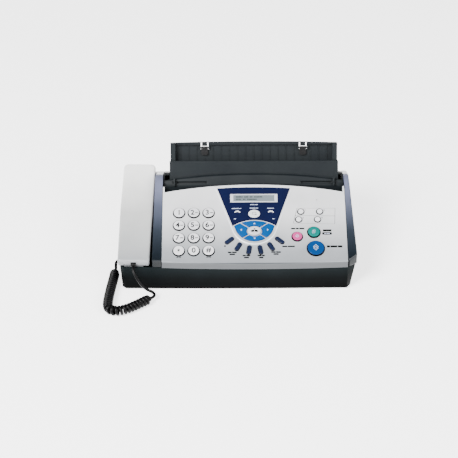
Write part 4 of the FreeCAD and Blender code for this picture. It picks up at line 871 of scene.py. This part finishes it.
ring = frame_slab(circle(2.5, 32), circle(1.9, 32), INK_SINK, INK_RISE)
cross = slab(turned_by(bar(4.4, 0.7), 45), INK_SINK, INK_RISE)
solid("stop_sign", moved(merged([ring, cross]), *STOP_KEY, 2.5), WHITE_INK,
      "stop_key_body")
sheet_mark = frame_slab(bar(3.2, 4.6), bar(2.4, 3.8), INK_SINK, INK_RISE)
solid("copy_sign", moved(merged([sheet_mark, moved(sheet_mark, 1.6, 1.3)]),
                         COPY_KEY[0] - 1.1, COPY_KEY[1] - 0.8, 2.8),
      WHITE_INK, "copy_key_body")
diamond = frame_slab(turned_by(bar(5.4, 5.4), 45), turned_by(bar(4.3, 4.3), 45),
                     INK_SINK, INK_RISE)
solid("start_sign", moved(merged([diamond, moved(diamond, 0, -2.6)]),
                          START_KEY[0], START_KEY[1] + 1.6, 3.2),
      WHITE_INK, "start_key_body")
book = merged([
    slab(turned_by(bar(4.6, 3.4, 0.6), 12) - (2.7, 0), INK_SINK, INK_RISE),
    slab(turned_by(bar(4.6, 3.4, 0.6), -12) + (2.7, 0), INK_SINK, INK_RISE),
    moved(slab(circle(1.2, 20), INK_SINK, INK_RISE), 0, 3.4)])
solid("menu_sign", moved(book, 0, 54.4, 3.8), INK, "menu_key_body")
pages = merged([
    frame_slab(bar(6.0, 4.0), bar(5.0, 3.0), INK_SINK, INK_RISE),
    moved(slab(bar(3.6, 0.7), INK_SINK, INK_RISE), 2.4, -2.6)])
solid("mode_sign", moved(pages, 0, 85.2, 3.6), INK, "mode_key_body")


# ----------------------------------------------------- floor and lighting

FLOOR = 6.0
floor_paint, _, _ = start_material(
    "matt_white_paper", Base_Color=paint("F8F8F8"), Roughness=0.9,
    Emission_Color=paint("FFFFFF"), Emission_Strength=2.2)
floor_corners = np.array([(-1, -1, 0), (1, -1, 0), (1, 1, 0), (-1, 1, 0)]) * FLOOR
floor = new_piece("floor", floor_corners, [(0, 1, 2, 3)], floor_paint)


def soft_light(name, place, size, watts):
    """A square area lamp turned towards the machine."""
    lamp = bpy.data.lights.new(name, "AREA")
    lamp.shape = "SQUARE"
    lamp.size = size
    lamp.energy = watts
    made = bpy.data.objects.new(name, lamp)
    bpy.context.collection.objects.link(made)
    made.location = place
    point_at(made, (0, 0, 0.05))


soft_light("key_light", (-1.6, -1.9, 2.3), 1.4, 315)
soft_light("fill_light", (1.9, -1.6, 1.8), 1.4, 80)

# A bright horizon under a dim sky, so that dark covers don't look washed.
world = bpy.data.worlds.new("studio")
world.use_nodes = True
sky = world.node_tree
heading = add(sky, "SeparateXYZ", None,
              Vector=add(sky, "TexCoord").outputs["Generated"])
dome = add(sky, "ValToRGB", {"stops": [(0.25, (1.1, 1.1, 1.1, 1.0)),
                                       (0.85, (0.22, 0.22, 0.23, 1.0))]},
           Fac=heading.outputs[2])
sky.links.new(dome.outputs[0], sky.nodes["Background"].inputs[0])
sky.nodes["Background"].inputs[1].default_value = 1.0
bpy.context.scene.world = world
